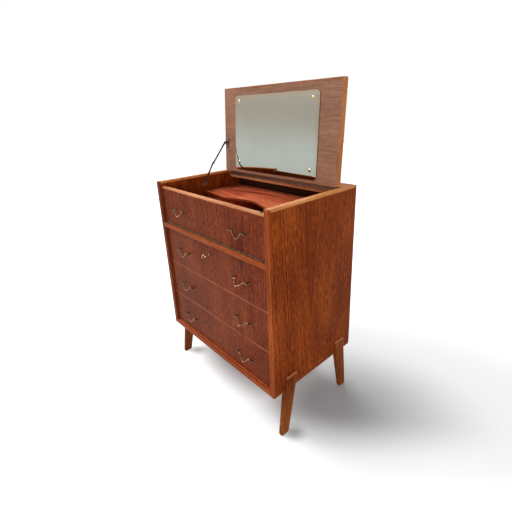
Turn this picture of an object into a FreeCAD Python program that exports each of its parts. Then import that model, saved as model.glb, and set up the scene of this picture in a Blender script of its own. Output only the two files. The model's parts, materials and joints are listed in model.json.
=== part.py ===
import FreeCAD, Part
import math
import os

Vector = FreeCAD.Vector
ACROSS = Vector(1, 0, 0)
DEEP = Vector(0, 1, 0)
UP = Vector(0, 0, 1)
ORIGIN = Vector(0, 0, 0)

# Driving sizes in millimetres and degrees. X runs across, Y from the front edges
# of the side panels to the back, Z up from the floor.

# Case
case_width = 700.0
case_depth = 450.0
leg_height = 192.0
side_thick = 20.0
side_lip = 9.0
bottom_thick = 20.0
drawer_bay = 480.0
floor_thick = 19.0
well_height = 179.0
front_edge_lip = 8.0
back_thick = 10.0
back_inset = 6.0

# Fall front over the drawers, and the blocks behind it that it closes against
front_recess = 11.0
front_thick = 18.0
front_top_lip = 6.0
stop_width = 12.0
stop_depth = 12.0
stop_height = 30.0
stop_drop = 16.0
stop_gap = 0.1

# Rear top board and the hinge rail in front of it
top_board_thick = 20.0
top_board_depth = 50.5
rail_thick = 20.0
rail_height = 32.0
rail_chamfer = 2.0

# Lid
lid_thick = 20.0
lid_lip = 9.0
lid_side_gap = 1.0
lid_chamfer = 2.0
lid_opening = 93.8
bumper_radius = 4.5
bumper_height = 1.4
bumper_gap = 0.1
bumper_inset = 32.0

# Continuous hinges of the lid and of the fall front
hinge_gap = 3.0
hinge_end_gap = 8.0
fall_gap = 4.8
fall_pin_ahead = 2.3
fall_end_gap = 1.5
pin_rise = 1.0
pin_radius = 1.0
knuckle_radius = 2.2
knuckle_count = 15
knuckle_gap = 0.3
leaf_thick = 1.0
leaf_height = 21.0
running_gap = 0.06

# Countersunk screws of the stay
screw_head_radius = 2.8
screw_shank_radius = 1.4
screw_length = 13.0
screw_gap = 0.05

# Legs: thickness is measured across and width from front to back, proud is how far
# the outer face stands out from the side panel, place is from the nearer end of the case
tongue_height = 55.0
leg_top_thick = 24.0
leg_toe_thick = 22.0
leg_top_proud = 8.0
leg_toe_proud = 10.0
leg_top_round = 3.0
leg_toe_round = 9.0
leg_toe_rise = 6.0
front_leg_top_width = 54.0
front_leg_top_place = 60.0
front_leg_toe_width = 40.0
front_leg_toe_place = 24.0
rear_leg_top_width = 55.0
rear_leg_top_place = 50.0
rear_leg_toe_width = 39.0
rear_leg_toe_place = 25.0

# Drawers
drawer_names = ("lower", "middle", "upper")
front_gap = 2.0
front_side_gap = 1.5
drawer_lip = 5.0
drawer_back_gap = 25.0
drawer_side_thick = 12.0
drawer_side_rise = 8.0
drawer_side_drop = 24.0
drawer_back_thick = 12.0
drawer_bottom_thick = 4.0
drawer_bottom_rise = 8.0
bottom_groove = 4.0
bottom_play = 0.1
runner_height = 14.0
runner_reach = 7.5
runner_back_gap = 35.0
runner_rise = 55.0
runner_front_gap = 0.3
runner_top_play = 0.3
runner_under_play = 0.7
runner_face_play = 1.0

# Bail pulls
pull_place = 190.0
pull_drop = 3.5
post_spacing = 77.0
post_reach = 13.0
rosette_radius = 7.0
rosette_rim = 1.0
rosette_height = 2.6
stem_radius = 3.2
post_head_radius = 4.5
post_head_length = 7.4
post_tip_radius = 2.6
bail_wire_radius = 2.0
bail_bend_step = 60.0
bail_end = 6.5
bail_neck = 7.3
bail_shoulder = 12.5
bail_shoulder_rise = 5.0
bail_waist = 21.5
bail_waist_drop = 11.0
bail_drop = 26.5
bail_neck_bend = 4.5
bail_shoulder_bend = 3.3
bail_waist_bend = 25.0
bail_bottom_bend = 12.0
# How far each bail leans out of the vertical, left one first
top_bail_tilts = (15.0, 3.0)
drawer_bail_tilts = ((5.0, 15.0), (15.0, 35.0), (8.0, 50.0))

# Lock of the upper drawer and its key
lock_place = -2.0
lock_width = 70.0
lock_height = 60.0
lock_thick = 11.0
lock_wall = 1.6
lock_play = 0.1
key_drop = 43.4
bolt_width = 30.0
bolt_thick = 4.0
bolt_height = 34.0
bolt_travel = 9.0
bolt_play = 0.25
mortise_end_play = 5.0
mortise_play = 1.2
key_reach = 25.0
key_shank_radius = 2.2
key_collar_radius = 3.6
key_collar_length = 2.5
key_collar_gap = 0.5
bow_radius = 8.6
bow_hole_radius = 5.2
bow_thick = 2.6
bit_length = 9.0
bit_thick = 2.2
bit_width = 3.2
escutcheon_radius = 7.5
escutcheon_thick = 1.6
keyhole_play = 0.4

# Mirror in the lid
mirror_left_margin = 81.0
mirror_right_margin = 97.0
mirror_front_margin = 34.5
mirror_hinge_gap = 12.0
mirror_thick = 4.0
mirror_edge = 2.2
mirror_bevel = 12.0
mirror_corner = 16.0
mirror_screw_inset = 30.0
mirror_screw_lower = 35.0
mirror_screw_upper = 24.0
dome_radius = 7.0
dome_height = 3.2
dome_height_shares = (0.93, 0.67, 0.33, 0.0)
dome_shank_radius = 2.0
dome_shank_length = 10.0

# Folding stay on the left: places of its end pivots, then the arms
stay_case_ahead = 148.5
stay_case_below = 36.0
stay_lid_along = 130.0
stay_lid_below = 30.0
stay_open_slack = 0.4
stay_closed_slack = 0.45
plate_thick = 1.6
plate_corner = 6.0
plate_screw_front = 10.5
plate_screw_rear = 7.5
plate_screw_drop = 13.0
arm_thick = 2.0
arm_width = 8.0
arm_eye_radius = 5.2
arm_plate_gap = 0.4
stud_radius = 2.4
stud_head_radius = 4.0
stud_head_thick = 1.0
stud_head_gap = 0.25
bracket_length = 44.0
bracket_width = 20.0
bracket_corner = 3.0
bracket_screw_inset = 8.0

# Shelf in the well
shelf_top_drop = 79.5
shelf_thick = 9.0
shelf_edge_lip = 2.0
shelf_depth = 208.0
shelf_wave = 60.0
shelf_bend = 140.0
shelf_box_width = 210.0
shelf_board_thick = 9.0
shelf_board_setback = 8.0
batten_width = 14.0
batten_height = 14.0
# Corners of the waved front edge, which arcs round off: share of the well's width
# from the left, and share of the wave forward of the line at the shelf's depth
shelf_wave_shares = (
    (0.0, 0.0),
    (0.136, 0.0),
    (0.28, 0.25),
    (0.485, -0.53),
    (0.826, 1.02),
    (1.0, 1.02),
)

# Flat sides that stand for the round of a leg's corner and of small turned pieces
corner_flats = 4
small_sides = 12
hinge_sides = 8
bail_wire_sides = 8
dome_sides = 14
stay_sides = 16
key_sides = 20

overrun = 1.0

# Places that follow from the driving sizes
half_width = case_width / 2
inner = half_width - side_thick
case_bottom_z = leg_height
bay_bottom_z = case_bottom_z + bottom_thick
bay_top_z = bay_bottom_z + drawer_bay
well_floor_z = bay_top_z + floor_thick
case_top_z = well_floor_z + well_height
back_y = case_depth - back_inset - back_thick
front_y = front_recess
front_back_y = front_recess + front_thick
board_front_y = case_depth - top_board_depth
rail_front_y = board_front_y - rail_thick
board_under_z = case_top_z - top_board_thick
lid_under_z = case_top_z - lid_thick
front_top_z = lid_under_z - bumper_gap - bumper_height
lid_rear_y = rail_front_y - hinge_gap
lid_half = inner - lid_side_gap
pin_y = rail_front_y - hinge_gap / 2
pin_z = case_top_z + pin_rise
hinge_half = inner - hinge_end_gap
fall_pin_y = front_y - fall_pin_ahead
fall_pin_z = well_floor_z + fall_gap / 2
fall_under_z = well_floor_z + fall_gap
drawer_length = back_y - front_back_y - drawer_back_gap
front_half = inner - front_side_gap
fall_hinge_half = front_half - fall_end_gap
front_height = (drawer_bay - front_gap * (len(drawer_names) + 1)) / len(drawer_names)
drawer_side_height = front_height - drawer_side_rise - drawer_side_drop
shelf_top_z = case_top_z - shelf_top_drop
shelf_under_z = shelf_top_z - shelf_thick
key_front_y = front_y - key_reach - bow_radius
centre_y = (case_depth + key_front_y) / 2


# Shape helpers
def box(x0, x1, y0, y1, z0, z1):
    return Part.makeBox(x1 - x0, y1 - y0, z1 - z0, Vector(x0, y0, z0))


def ring(centre, way, radius, sides):
    """Corners of a regular polygon round a line through centre along way."""
    first = ACROSS if abs(way.dot(ACROSS)) < 0.5 else UP
    second = way.cross(first)
    corners = []
    for k in range(sides):
        turn = 2 * math.pi * (k + 0.5) / sides
        corners.append(centre + first * (radius * math.cos(turn))
                       + second * (radius * math.sin(turn)))
    return corners


def skinned(rings):
    """A solid with flat faces between rings, whose corners run right-handed on the way."""
    faces = [polygon(rings[0][::-1]), polygon(rings[-1])]
    for low, high in zip(rings[:-1], rings[1:]):
        for k in range(len(low)):
            j = (k + 1) % len(low)
            faces.append(polygon([low[k], low[j], high[j], high[k]]))
    shell = Part.makeShell(faces)
    shell.sewShape()
    return Part.makeSolid(shell)


def turned(start, way, stations, sides):
    """A turned piece with few faces; stations are (distance along way, radius)."""
    return skinned([ring(start + way * d, way, r, sides) for d, r in stations])


def rod(radius, start, end, sides):
    """A rod whose corners lie on the radius."""
    way = end - start
    return turned(start, way.normalize(), [(0, radius), ((end - start).Length, radius)], sides)


def bore(radius, start, end, sides):
    """The tool for a hole whose flats lie on the radius, so that a rod turns in it."""
    return rod(radius / math.cos(math.pi / sides), start, end, sides)


def polygon(points):
    return Part.Face(Part.makePolygon(points + [points[0]]))


def prism(points, way):
    closed = list(points) + [points[0]]
    return Part.Face(Part.makePolygon(closed)).extrude(way)


def fused(shapes):
    return shapes[0].fuse(shapes[1:]).removeSplitter()


def group(shapes):
    return Part.makeCompound(shapes)


def both_sides(shape):
    return [shape, shape.mirror(ORIGIN, ACROSS)]


def between(start, end, share):
    return start * (1 - share) + end * share


def rounded_ring(x0, x1, y0, y1, z, radius):
    """Corners of a rectangle at height z whose own corners are rounded by short flats."""
    centres = (
        (x1 - radius, y0 + radius),
        (x1 - radius, y1 - radius),
        (x0 + radius, y1 - radius),
        (x0 + radius, y0 + radius),
    )
    points = []
    for quarter, (cx, cy) in enumerate(centres):
        for k in range(corner_flats + 1):
            turn = math.pi / 2 * (quarter - 1 + k / corner_flats)
            points.append(Vector(cx + radius * math.cos(turn), cy + radius * math.sin(turn), z))
    return points


def rounded_rectangle(x0, x1, y0, y1, z, radius):
    """A closed wire at height z, with one arc at each corner."""
    turn = math.sqrt(0.5) * radius
    corners = (
        (x1 - radius, y0 + radius, 1, -1),
        (x1 - radius, y1 - radius, 1, 1),
        (x0 + radius, y1 - radius, -1, 1),
        (x0 + radius, y0 + radius, -1, -1),
    )
    arcs = []
    for cx, cy, sx, sy in corners:
        ends = [Vector(cx + sx * radius, cy, z), Vector(cx, cy + sy * radius, z)]
        if sx != sy:
            ends.reverse()
        middle = Vector(cx + sx * turn, cy + sy * turn, z)
        arcs.append(Part.Arc(ends[0], middle, ends[1]).toShape())
    edges = []
    for k, arc in enumerate(arcs):
        following = arcs[(k + 1) % len(arcs)]
        edges.append(arc)
        start = arc.Vertexes[-1].Point
        end = following.Vertexes[0].Point
        edges.append(Part.LineSegment(start, end).toShape())
    return Part.Wire(edges)


def screw(seat, way, grow=0.0):
    """A countersunk screw with its head flush at seat; grow makes its hole."""
    head = screw_head_radius + grow
    shank = screw_shank_radius + grow
    stations = [(0, head), (head - shank, shank), (screw_length + grow, shank)]
    if grow:
        stations.insert(0, (-overrun, head))
    return turned(seat, way, stations, small_sides)


def in_lid(across, along, below):
    """A point of the closed lid: along it from the pin, and below the pin."""
    return Vector(across, pin_y - along, pin_z - below)


def opened(shape):
    """Turns a piece of the closed lid to the open lid, which is the rest pose."""
    turned = shape.copy()
    turned.rotate(Vector(0, pin_y, pin_z), ACROSS, -lid_opening)
    return turned


# Side panels, with solid lippings round a veneered core
def side_strips():
    """The four lippings of the right side panel, its core between them."""
    x0, x1 = inner, half_width
    z0, z1 = case_bottom_z, case_top_z
    front = box(x0, x1, 0, side_lip, z0, z1)
    rear = box(x0, x1, case_depth - side_lip, case_depth, z0, z1)
    top = box(x0, x1, side_lip, case_depth - side_lip, z1 - side_lip, z1)
    bottom = box(x0, x1, side_lip, case_depth - side_lip, z0, z0 + side_lip)
    return [front, rear, top, bottom]


def side_core():
    return box(inner, half_width, side_lip, case_depth - side_lip,
               case_bottom_z + side_lip, case_top_z - side_lip)


def side_panels():
    right, left = both_sides(side_core())
    for seat in stay_plate_seats():
        left = left.cut(screw(seat, -ACROSS, screw_gap))
    return left, right


# Boards of the case
def case_bottom():
    return box(-inner, inner, front_edge_lip, back_y, case_bottom_z, bay_bottom_z)


def mortise():
    reach = bolt_width / 2 + mortise_play
    y0, y1 = lock_bolt_depths()
    depth = bolt_travel - front_gap + mortise_end_play
    return box(lock_place - reach, lock_place + reach, y0 - mortise_play,
               y1 + mortise_play, bay_top_z - overrun, bay_top_z + depth)


def well_floor():
    board = box(-inner, inner, front_edge_lip, back_y, bay_top_z, well_floor_z)
    return board.cut(mortise())


def case_front_lippings():
    bottom = box(-inner, inner, 0, front_edge_lip, case_bottom_z, bay_bottom_z)
    floor = box(-inner, inner, 0, front_edge_lip, bay_top_z, well_floor_z)
    return group([bottom, floor])


def back_panel():
    return box(-inner, inner, back_y, back_y + back_thick, case_bottom_z, board_under_z)


def rear_top_board():
    return box(-inner, inner, board_front_y, case_depth, board_under_z, case_top_z)


def hinge_rail():
    y0, z1 = rail_front_y, case_top_z
    z0 = z1 - rail_height
    outline = [
        Vector(-inner, y0, z0),
        Vector(-inner, board_front_y, z0),
        Vector(-inner, board_front_y, z1),
        Vector(-inner, y0 + rail_chamfer, z1),
        Vector(-inner, y0, z1 - rail_chamfer),
    ]
    return prism(outline, ACROSS * (2 * inner))


def top_front_panel():
    """The fall front, closed: its board, and the lipping on its top edge."""
    lip_z = front_top_z - front_top_lip
    board = box(-front_half, front_half, front_y, front_back_y, fall_under_z, lip_z)
    lip = box(-front_half, front_half, front_y, front_back_y, lip_z, front_top_z)
    return group([board, lip])


def fall_stops():
    y0 = front_back_y + stop_gap
    z1 = front_top_z - stop_drop
    return both_sides(box(inner - stop_width, inner, y0, y0 + stop_depth,
                          z1 - stop_height, z1))


def lid_bumpers():
    bumpers = []
    middle = (front_y + front_back_y) / 2
    for x in (-inner + bumper_inset, inner - bumper_inset):
        start = Vector(x, middle, front_top_z)
        bumpers.append(rod(bumper_radius, start, start + UP * bumper_height, stay_sides))
    return group(bumpers)


# Legs: tapered, splayed, notched round the side panel
def leg_tops():
    """Front edge and width of each leg at its top, front leg first."""
    rear_place = case_depth - rear_leg_top_place - rear_leg_top_width
    return ((front_leg_top_place, front_leg_top_width), (rear_place, rear_leg_top_width))


def leg_toes():
    rear_place = case_depth - rear_leg_toe_place - rear_leg_toe_width
    return ((front_leg_toe_place, front_leg_toe_width), (rear_place, rear_leg_toe_width))


def leg_section(index, height, inset):
    """The leg's outline at a height, drawn in by inset."""
    share = height / (case_bottom_z + tongue_height)
    (top_place, top_width), (toe_place, toe_width) = leg_tops()[index], leg_toes()[index]
    x1 = half_width + between(leg_toe_proud, leg_top_proud, share)
    x0 = x1 - between(leg_toe_thick, leg_top_thick, share)
    y0 = between(toe_place, top_place, share)
    y1 = y0 + between(toe_width, top_width, share)
    radius = between(leg_toe_round, leg_top_round, share) - inset
    return rounded_ring(x0 + inset, x1 - inset, y0 + inset, y1 - inset, height, radius)


def leg(index):
    """A leg on the right: a tapering body on a rounded toe, then the notch."""
    top_z = case_bottom_z + tongue_height
    turn = math.radians(45)
    knee_height = leg_toe_rise * (1 - math.sin(turn))
    knee_inset = leg_toe_rise * (1 - math.cos(turn))
    body = skinned([
        leg_section(index, 0, leg_toe_rise),
        leg_section(index, knee_height, knee_inset),
        leg_section(index, leg_toe_rise, 0),
        leg_section(index, top_z, 0),
    ])
    notch = box(0, half_width, 0, case_depth, case_bottom_z, top_z + overrun)
    return body.cut(notch)


# Continuous hinges, drawn with the pin on the X axis and the leaves hanging from it
def knuckle_span(k, half):
    pitch = 2 * half / knuckle_count
    start = k * pitch - half
    return start + knuckle_gap / 2, start + pitch - knuckle_gap / 2


def pin_rod(radius, half):
    return rod(radius, ACROSS * -half, ACROSS * half, hinge_sides)


def hinge_leaf(first, side, half, gap, height):
    """A leaf on one side of a gap, with every second knuckle from first."""
    near = side * (gap / 2 - leaf_thick)
    far = side * gap / 2
    leaf = box(-half, half, min(near, far), max(near, far), -height, 0)
    room = knuckle_radius + running_gap + knuckle_gap
    barrels = []
    for k in range(knuckle_count):
        x0, x1 = knuckle_span(k, half)
        if k % 2 == first:
            barrels.append(rod(knuckle_radius, ACROSS * x0, ACROSS * x1, hinge_sides))
        else:
            leaf = leaf.cut(box(x0 - knuckle_gap, x1 + knuckle_gap, -gap, gap, -room, overrun))
    leaf = fused([leaf] + barrels)
    hole = pin_radius + running_gap
    return leaf.cut(bore(hole, ACROSS * -(half + overrun), ACROSS * (half + overrun),
                         hinge_sides))


def at_lid_pin(shape):
    shape.translate(Vector(0, pin_y, pin_z))
    return shape


def at_fall_pin(shape):
    """Lays a piece of the hinge back under the fall front."""
    shape.rotate(ORIGIN, ACROSS, 90)
    shape.translate(Vector(0, fall_pin_y, fall_pin_z))
    return shape


def lid_hinge_leaf(first, side):
    return at_lid_pin(hinge_leaf(first, side, hinge_half, hinge_gap, leaf_height))


def fall_hinge_leaf(first, side):
    depth = front_back_y - fall_pin_y
    return at_fall_pin(hinge_leaf(first, side, fall_hinge_half, fall_gap, depth))


def hinge_pins():
    return group([at_lid_pin(pin_rod(pin_radius, hinge_half)),
                  at_fall_pin(pin_rod(pin_radius, fall_hinge_half))])


# Lid, drawn closed
def lid_outline(inset):
    return box(-lid_half + inset, lid_half - inset, front_y + inset,
               lid_rear_y - inset, lid_under_z, case_top_z)


def lid_screw_holes():
    holes = [screw(seat, UP, screw_gap) for seat in bracket_seats()]
    for place in dome_places():
        top = place + UP * (dome_shank_length + screw_gap)
        holes.append(dome_hole(place - UP * overrun, top))
    return holes


def dome_hole(start, end):
    return bore(dome_shank_radius + screw_gap, start, end, small_sides)


def lid_board():
    board = lid_outline(lid_lip)
    return board.cut(lid_screw_holes())


def lid_lippings():
    x0, x1 = lid_half - lid_lip, lid_half
    y0, y1 = front_y, lid_rear_y
    z0, z1 = lid_under_z, case_top_z
    front = box(-x0, x0, y0, y0 + lid_lip, z0, z1)
    outline = [
        Vector(-x1, y1 - lid_lip, z0),
        Vector(-x1, y1, z0),
        Vector(-x1, y1, z1 - lid_chamfer),
        Vector(-x1, y1 - lid_chamfer, z1),
        Vector(-x1, y1 - lid_lip, z1),
    ]
    rear = prism(outline, ACROSS * (2 * x1))
    ends = both_sides(box(x0, x1, y0, y1 - lid_lip, z0, z1))
    return group([front, rear] + ends)


def mirror_spans():
    return (-lid_half + mirror_left_margin, lid_half - mirror_right_margin,
            front_y + mirror_front_margin, lid_rear_y - mirror_hinge_gap)


def dome_places():
    """Centres of the mirror screws on the lid's inner face."""
    x0, x1, y0, y1 = mirror_spans()
    xs = (x0 + mirror_screw_inset, x1 - mirror_screw_inset)
    ys = (y0 + mirror_screw_upper, y1 - mirror_screw_lower)
    return [Vector(x, y, lid_under_z) for x in xs for y in ys]


def mirror_glass():
    x0, x1, y0, y1 = mirror_spans()
    back = rounded_rectangle(x0, x1, y0, y1, lid_under_z, mirror_corner)
    rim = rounded_rectangle(x0, x1, y0, y1, lid_under_z - mirror_edge, mirror_corner)
    b = mirror_bevel
    face = rounded_rectangle(x0 + b, x1 - b, y0 + b, y1 - b,
                             lid_under_z - mirror_thick, mirror_corner - b)
    plate = Part.Face(back).extrude(-UP * mirror_edge)
    bevel = Part.makeLoft([rim, face], True, True)
    glass = fused([plate, bevel])
    for place in dome_places():
        bottom = place - UP * (mirror_thick + overrun)
        glass = glass.cut(dome_hole(bottom, place + UP * overrun))
    return glass


def dome_screw(place):
    """A domed head under the glass, with its shank up into the lid."""
    seat = place - UP * mirror_thick
    sphere_radius = (dome_radius ** 2 + dome_height ** 2) / (2 * dome_height)
    centre_drop = sphere_radius - dome_height
    stations = []
    for share in dome_height_shares:
        rise = dome_height * share
        radius = math.sqrt(sphere_radius ** 2 - (centre_drop + rise) ** 2)
        stations.append((dome_height - rise, radius))
    head = turned(seat - UP * dome_height, UP, stations, dome_sides)
    shank = rod(dome_shank_radius, seat, place + UP * dome_shank_length, small_sides)
    return fused([head, shank])


# Folding stay. Its points are (y, z) pairs in the plane of its arms.
def stay_points():
    """The pivots on case and lid and the knee, with the lid open and closed."""
    case_pivot = (pin_y - stay_case_ahead, pin_z - stay_case_below)
    closed = (pin_y - stay_lid_along, pin_z - stay_lid_below)
    turn = math.radians(-lid_opening)
    open_y = pin_y - stay_lid_along * math.cos(turn) + stay_lid_below * math.sin(turn)
    open_z = pin_z - stay_lid_along * math.sin(turn) - stay_lid_below * math.cos(turn)
    opened_pivot = (open_y, open_z)
    total = math.dist(case_pivot, opened_pivot) + stay_open_slack
    spare = math.dist(case_pivot, closed) - stay_closed_slack
    lower = (total - spare) / 2
    upper = (total + spare) / 2
    return {
        "case": case_pivot,
        "lid": opened_pivot,
        "closed lid": closed,
        "knee": knee(case_pivot, opened_pivot, lower, upper),
        "closed knee": knee(case_pivot, closed, lower, upper),
    }


def knee(start, end, lower, upper):
    """Where the two arms meet, on the front side of the line from start to end."""
    span = math.dist(start, end)
    along = (lower ** 2 - upper ** 2 + span ** 2) / (2 * span)
    off = math.sqrt(max(lower ** 2 - along ** 2, 0))
    uy = (end[0] - start[0]) / span
    uz = (end[1] - start[1]) / span
    return (start[0] + along * uy - off * uz, start[1] + along * uz + off * uy)


def stay_planes():
    """X of the wall, then of each layer of the stay, going in from the left side."""
    wall = -inner
    lower = wall + plate_thick + arm_plate_gap
    head = lower + arm_thick + stud_head_gap
    upper = head + stud_head_thick + stud_head_gap
    ear = upper + arm_thick + arm_plate_gap
    return {"wall": wall, "lower": lower, "head": head, "upper": upper, "ear": ear}


def bar(start, end, x0):
    """An arm between two (y, z) points, with round eyes and a bore at its start."""
    length = math.dist(start, end)
    half = arm_width / 2
    x1 = x0 + arm_thick
    flat = fused([
        box(x0, x1, 0, length, -half, half),
        rod(arm_eye_radius, Vector(x0, 0, 0), Vector(x1, 0, 0), stay_sides),
        rod(arm_eye_radius, Vector(x0, length, 0), Vector(x1, length, 0), stay_sides),
    ])
    flat = flat.cut(bore(stud_radius + running_gap, Vector(x0 - overrun, 0, 0),
                         Vector(x1 + overrun, 0, 0), stay_sides))
    turn = math.degrees(math.atan2(end[1] - start[1], end[0] - start[0]))
    flat.rotate(ORIGIN, ACROSS, turn)
    flat.translate(Vector(0, start[0], start[1]))
    return flat


def stay_disc(x0, x1, point, radius=stud_head_radius):
    """A rivet head, washer or stud of the stay, from x0 to x1."""
    return rod(radius, Vector(x0, *point), Vector(x1, *point), stay_sides)


def stay_lower_arm():
    points, x = stay_points(), stay_planes()
    arm = bar(points["case"], points["knee"], x["lower"])
    rivet = stay_disc(x["lower"] - stud_head_thick, x["lower"], points["knee"])
    washer = stay_disc(x["lower"] + arm_thick, x["upper"] - stud_head_gap, points["knee"])
    return fused([arm, rivet, washer])


def stay_upper_arm():
    points, x = stay_points(), stay_planes()
    arm = bar(points["lid"], points["knee"], x["upper"])
    inside = x["upper"] + arm_thick
    rivet = stay_disc(inside, inside + stud_head_thick, points["knee"])
    return fused([arm, rivet])


def stay_plate_seats():
    """Heads of the side plate's screws, on its face."""
    y, z = stay_points()["case"]
    x = -inner + plate_thick
    return [
        Vector(x, y - plate_screw_front, z - plate_screw_drop),
        Vector(x, y + plate_screw_rear, z - plate_screw_drop),
    ]


def stay_side_plate():
    """A three-cornered plate on the left side, with the lower arm's stud."""
    pivot, x = stay_points()["case"], stay_planes()
    corners = [Vector(x["wall"], *pivot)]
    for seat in stay_plate_seats():
        corners.append(Vector(x["wall"], seat.y, seat.z))
    plate = Part.Wire(Part.makePolygon(corners + [corners[0]]).Edges)
    plate = Part.Face(plate.makeOffset2D(plate_corner)).extrude(ACROSS * plate_thick)
    stud = stay_disc(x["wall"], x["head"], pivot, stud_radius)
    cap = stay_disc(x["head"], x["head"] + stud_head_thick, pivot)
    plate = fused([plate, stud, cap])
    for seat in stay_plate_seats():
        plate = plate.cut(screw(seat, -ACROSS, screw_gap))
    return plate


def bracket_seats():
    """Heads of the lid bracket's screws, on its face, in the closed lid."""
    x = stay_planes()["ear"] + bracket_width / 2
    below = lid_thick + pin_rise + plate_thick
    reach = bracket_length / 2 - bracket_screw_inset
    return [in_lid(x, stay_lid_along + s, below) for s in (-reach, reach)]


def stay_lid_bracket():
    """An angle under the lid, whose ear carries the upper arm's stud."""
    ear = stay_planes()["ear"]
    under = lid_under_z
    centre = in_lid(ear, stay_lid_along, stay_lid_below)
    half = bracket_length / 2
    base = box(ear, ear + bracket_width, centre.y - half, centre.y + half,
               under - plate_thick, under)
    outer = [e for e in base.Edges
             if e.BoundBox.ZLength > plate_thick / 2 and e.BoundBox.XMin > ear + plate_thick]
    base = base.makeFillet(bracket_corner, outer)
    point = (centre.y, centre.z)
    eye = stay_disc(ear, ear + plate_thick, point, arm_eye_radius)
    tongue = box(ear, ear + plate_thick, centre.y - arm_eye_radius,
                 centre.y + arm_eye_radius, centre.z, under)
    cap_x = stay_planes()["upper"] - stud_head_gap
    stud = stay_disc(cap_x, ear, point, stud_radius)
    cap = stay_disc(cap_x - stud_head_thick, cap_x, point)
    bracket = fused([base, eye, tongue, stud, cap])
    for seat in bracket_seats():
        bracket = bracket.cut(screw(seat, UP, screw_gap))
    return bracket


# Screws of the stay's plate and of its bracket
def stay_plate_screws():
    return group([screw(seat, -ACROSS) for seat in stay_plate_seats()])


def stay_bracket_screws():
    return group([screw(seat, UP) for seat in bracket_seats()])


# Shelf in the well, with the closed box under its left part
def shelf_edge(shift):
    """The edges of the waved front, moved forward by shift."""
    points = []
    for across_share, wave_share in shelf_wave_shares:
        x = -inner + across_share * 2 * inner
        y = back_y - shelf_depth - wave_share * shelf_wave - shift
        points.append(Vector(x, y, shelf_under_z))
    bends = [shelf_bend] * (len(points) - 2)
    return bend_path(points, bends)


def slab(front, back):
    """A board between two lines of edges that run from left to right."""
    joins = [
        Part.LineSegment(back[0].Vertexes[0].Point, front[0].Vertexes[0].Point),
        Part.LineSegment(back[-1].Vertexes[-1].Point, front[-1].Vertexes[-1].Point),
    ]
    edges = front + back + [join.toShape() for join in joins]
    outline = Part.Wire(Part.__sortEdges__(edges))
    return Part.Face(outline).extrude(UP * shelf_thick)


def vanity_shelf():
    back = Part.LineSegment(Vector(-inner, back_y, shelf_under_z),
                            Vector(inner, back_y, shelf_under_z))
    return slab(shelf_edge(0), [back.toShape()])


def shelf_lipping():
    return slab(shelf_edge(shelf_edge_lip), shelf_edge(0))


def shelf_box():
    """Front board under the shelf's left part, and the divider behind its end."""
    y0 = back_y - shelf_depth + shelf_board_setback
    x1 = -inner + shelf_box_width
    front = box(-inner, x1, y0, y0 + shelf_board_thick, well_floor_z, shelf_under_z)
    divider = box(x1 - shelf_board_thick, x1, y0 + shelf_board_thick, back_y,
                  well_floor_z, shelf_under_z)
    return group([front, divider])


def well_battens():
    """Two battens under the shelf, and the stops of the fall front."""
    z0 = shelf_under_z - batten_height
    x0 = -inner + shelf_box_width
    y0 = back_y - shelf_depth
    rear = box(x0, inner, back_y - batten_width, back_y, z0, shelf_under_z)
    right = box(inner - batten_width, inner, y0, back_y - batten_width, z0, shelf_under_z)
    return group([rear, right] + fall_stops())


# Drawers
def front_bottom_z(index):
    return bay_bottom_z + front_gap + index * (front_height + front_gap)


def drawer_side_spans():
    return front_half - drawer_side_thick, front_half


def drawer_bottom_z(index):
    return front_bottom_z(index) + drawer_side_rise + drawer_bottom_rise


def bottom_slot(index):
    """The groove that takes the drawer's bottom in its sides and front."""
    x1 = drawer_side_spans()[0] + bottom_groove
    z0 = drawer_bottom_z(index)
    return box(-x1, x1, front_back_y - bottom_groove, front_back_y + drawer_length + overrun,
               z0 - bottom_play, z0 + drawer_bottom_thick + bottom_play)


def pull_z(index):
    return front_bottom_z(index) + front_height / 2 - pull_drop


def top_pull_z():
    return (well_floor_z + front_top_z) / 2 - pull_drop


def drawer_front(index):
    z0 = front_bottom_z(index)
    z1 = z0 + front_height
    board = box(-front_half, front_half, front_y, front_back_y, z0, z1 - drawer_lip)
    lip = box(-front_half, front_half, front_y, front_back_y, z1 - drawer_lip, z1)
    board = board.cut(bottom_slot(index))
    if drawer_names[index] == "upper":
        board = board.cut([lock_recess(), keyhole()])
        lip = lip.cut(lock_recess())
    return group([board, lip])


def runner_spans(index):
    z0 = front_bottom_z(index) + drawer_side_rise + runner_rise
    return z0, z0 + runner_height


def drawer_sides(index):
    """Two grooved sides, and the back between them."""
    x0, x1 = drawer_side_spans()
    y0, y1 = front_back_y, front_back_y + drawer_length
    z0 = front_bottom_z(index) + drawer_side_rise
    z1 = z0 + drawer_side_height
    r0, r1 = runner_spans(index)
    groove = box(inner - runner_reach - runner_face_play, x1 + overrun, y0 - overrun,
                 y1 + overrun, r0 - runner_under_play, r1 + runner_top_play)
    side = box(x0, x1, y0, y1, z0, z1).cut([groove, bottom_slot(index)])
    back_z = drawer_bottom_z(index) + drawer_bottom_thick + bottom_play
    back = box(-x0, x0, y1 - drawer_back_thick, y1, back_z, z1)
    return group(both_sides(side) + [back])


def drawer_bottom(index):
    x1 = drawer_side_spans()[0] + bottom_groove - bottom_play
    z0 = drawer_bottom_z(index)
    return box(-x1, x1, front_back_y - bottom_groove + bottom_play,
               front_back_y + drawer_length, z0, z0 + drawer_bottom_thick)


def drawer_runners():
    runners = []
    y0, y1 = front_back_y + runner_front_gap, back_y - runner_back_gap
    for index in range(len(drawer_names)):
        z0, z1 = runner_spans(index)
        runner = box(inner - runner_reach, inner, y0, y1, z0, z1)
        runners += both_sides(runner)
    return group(runners)


# Bail pulls
def post_places(z):
    """Where the four posts of a front meet its face."""
    half = post_spacing / 2
    xs = [side * pull_place + end * half for side in (-1, 1) for end in (-1, 1)]
    return [Vector(x, front_y, z) for x in xs]


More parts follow.
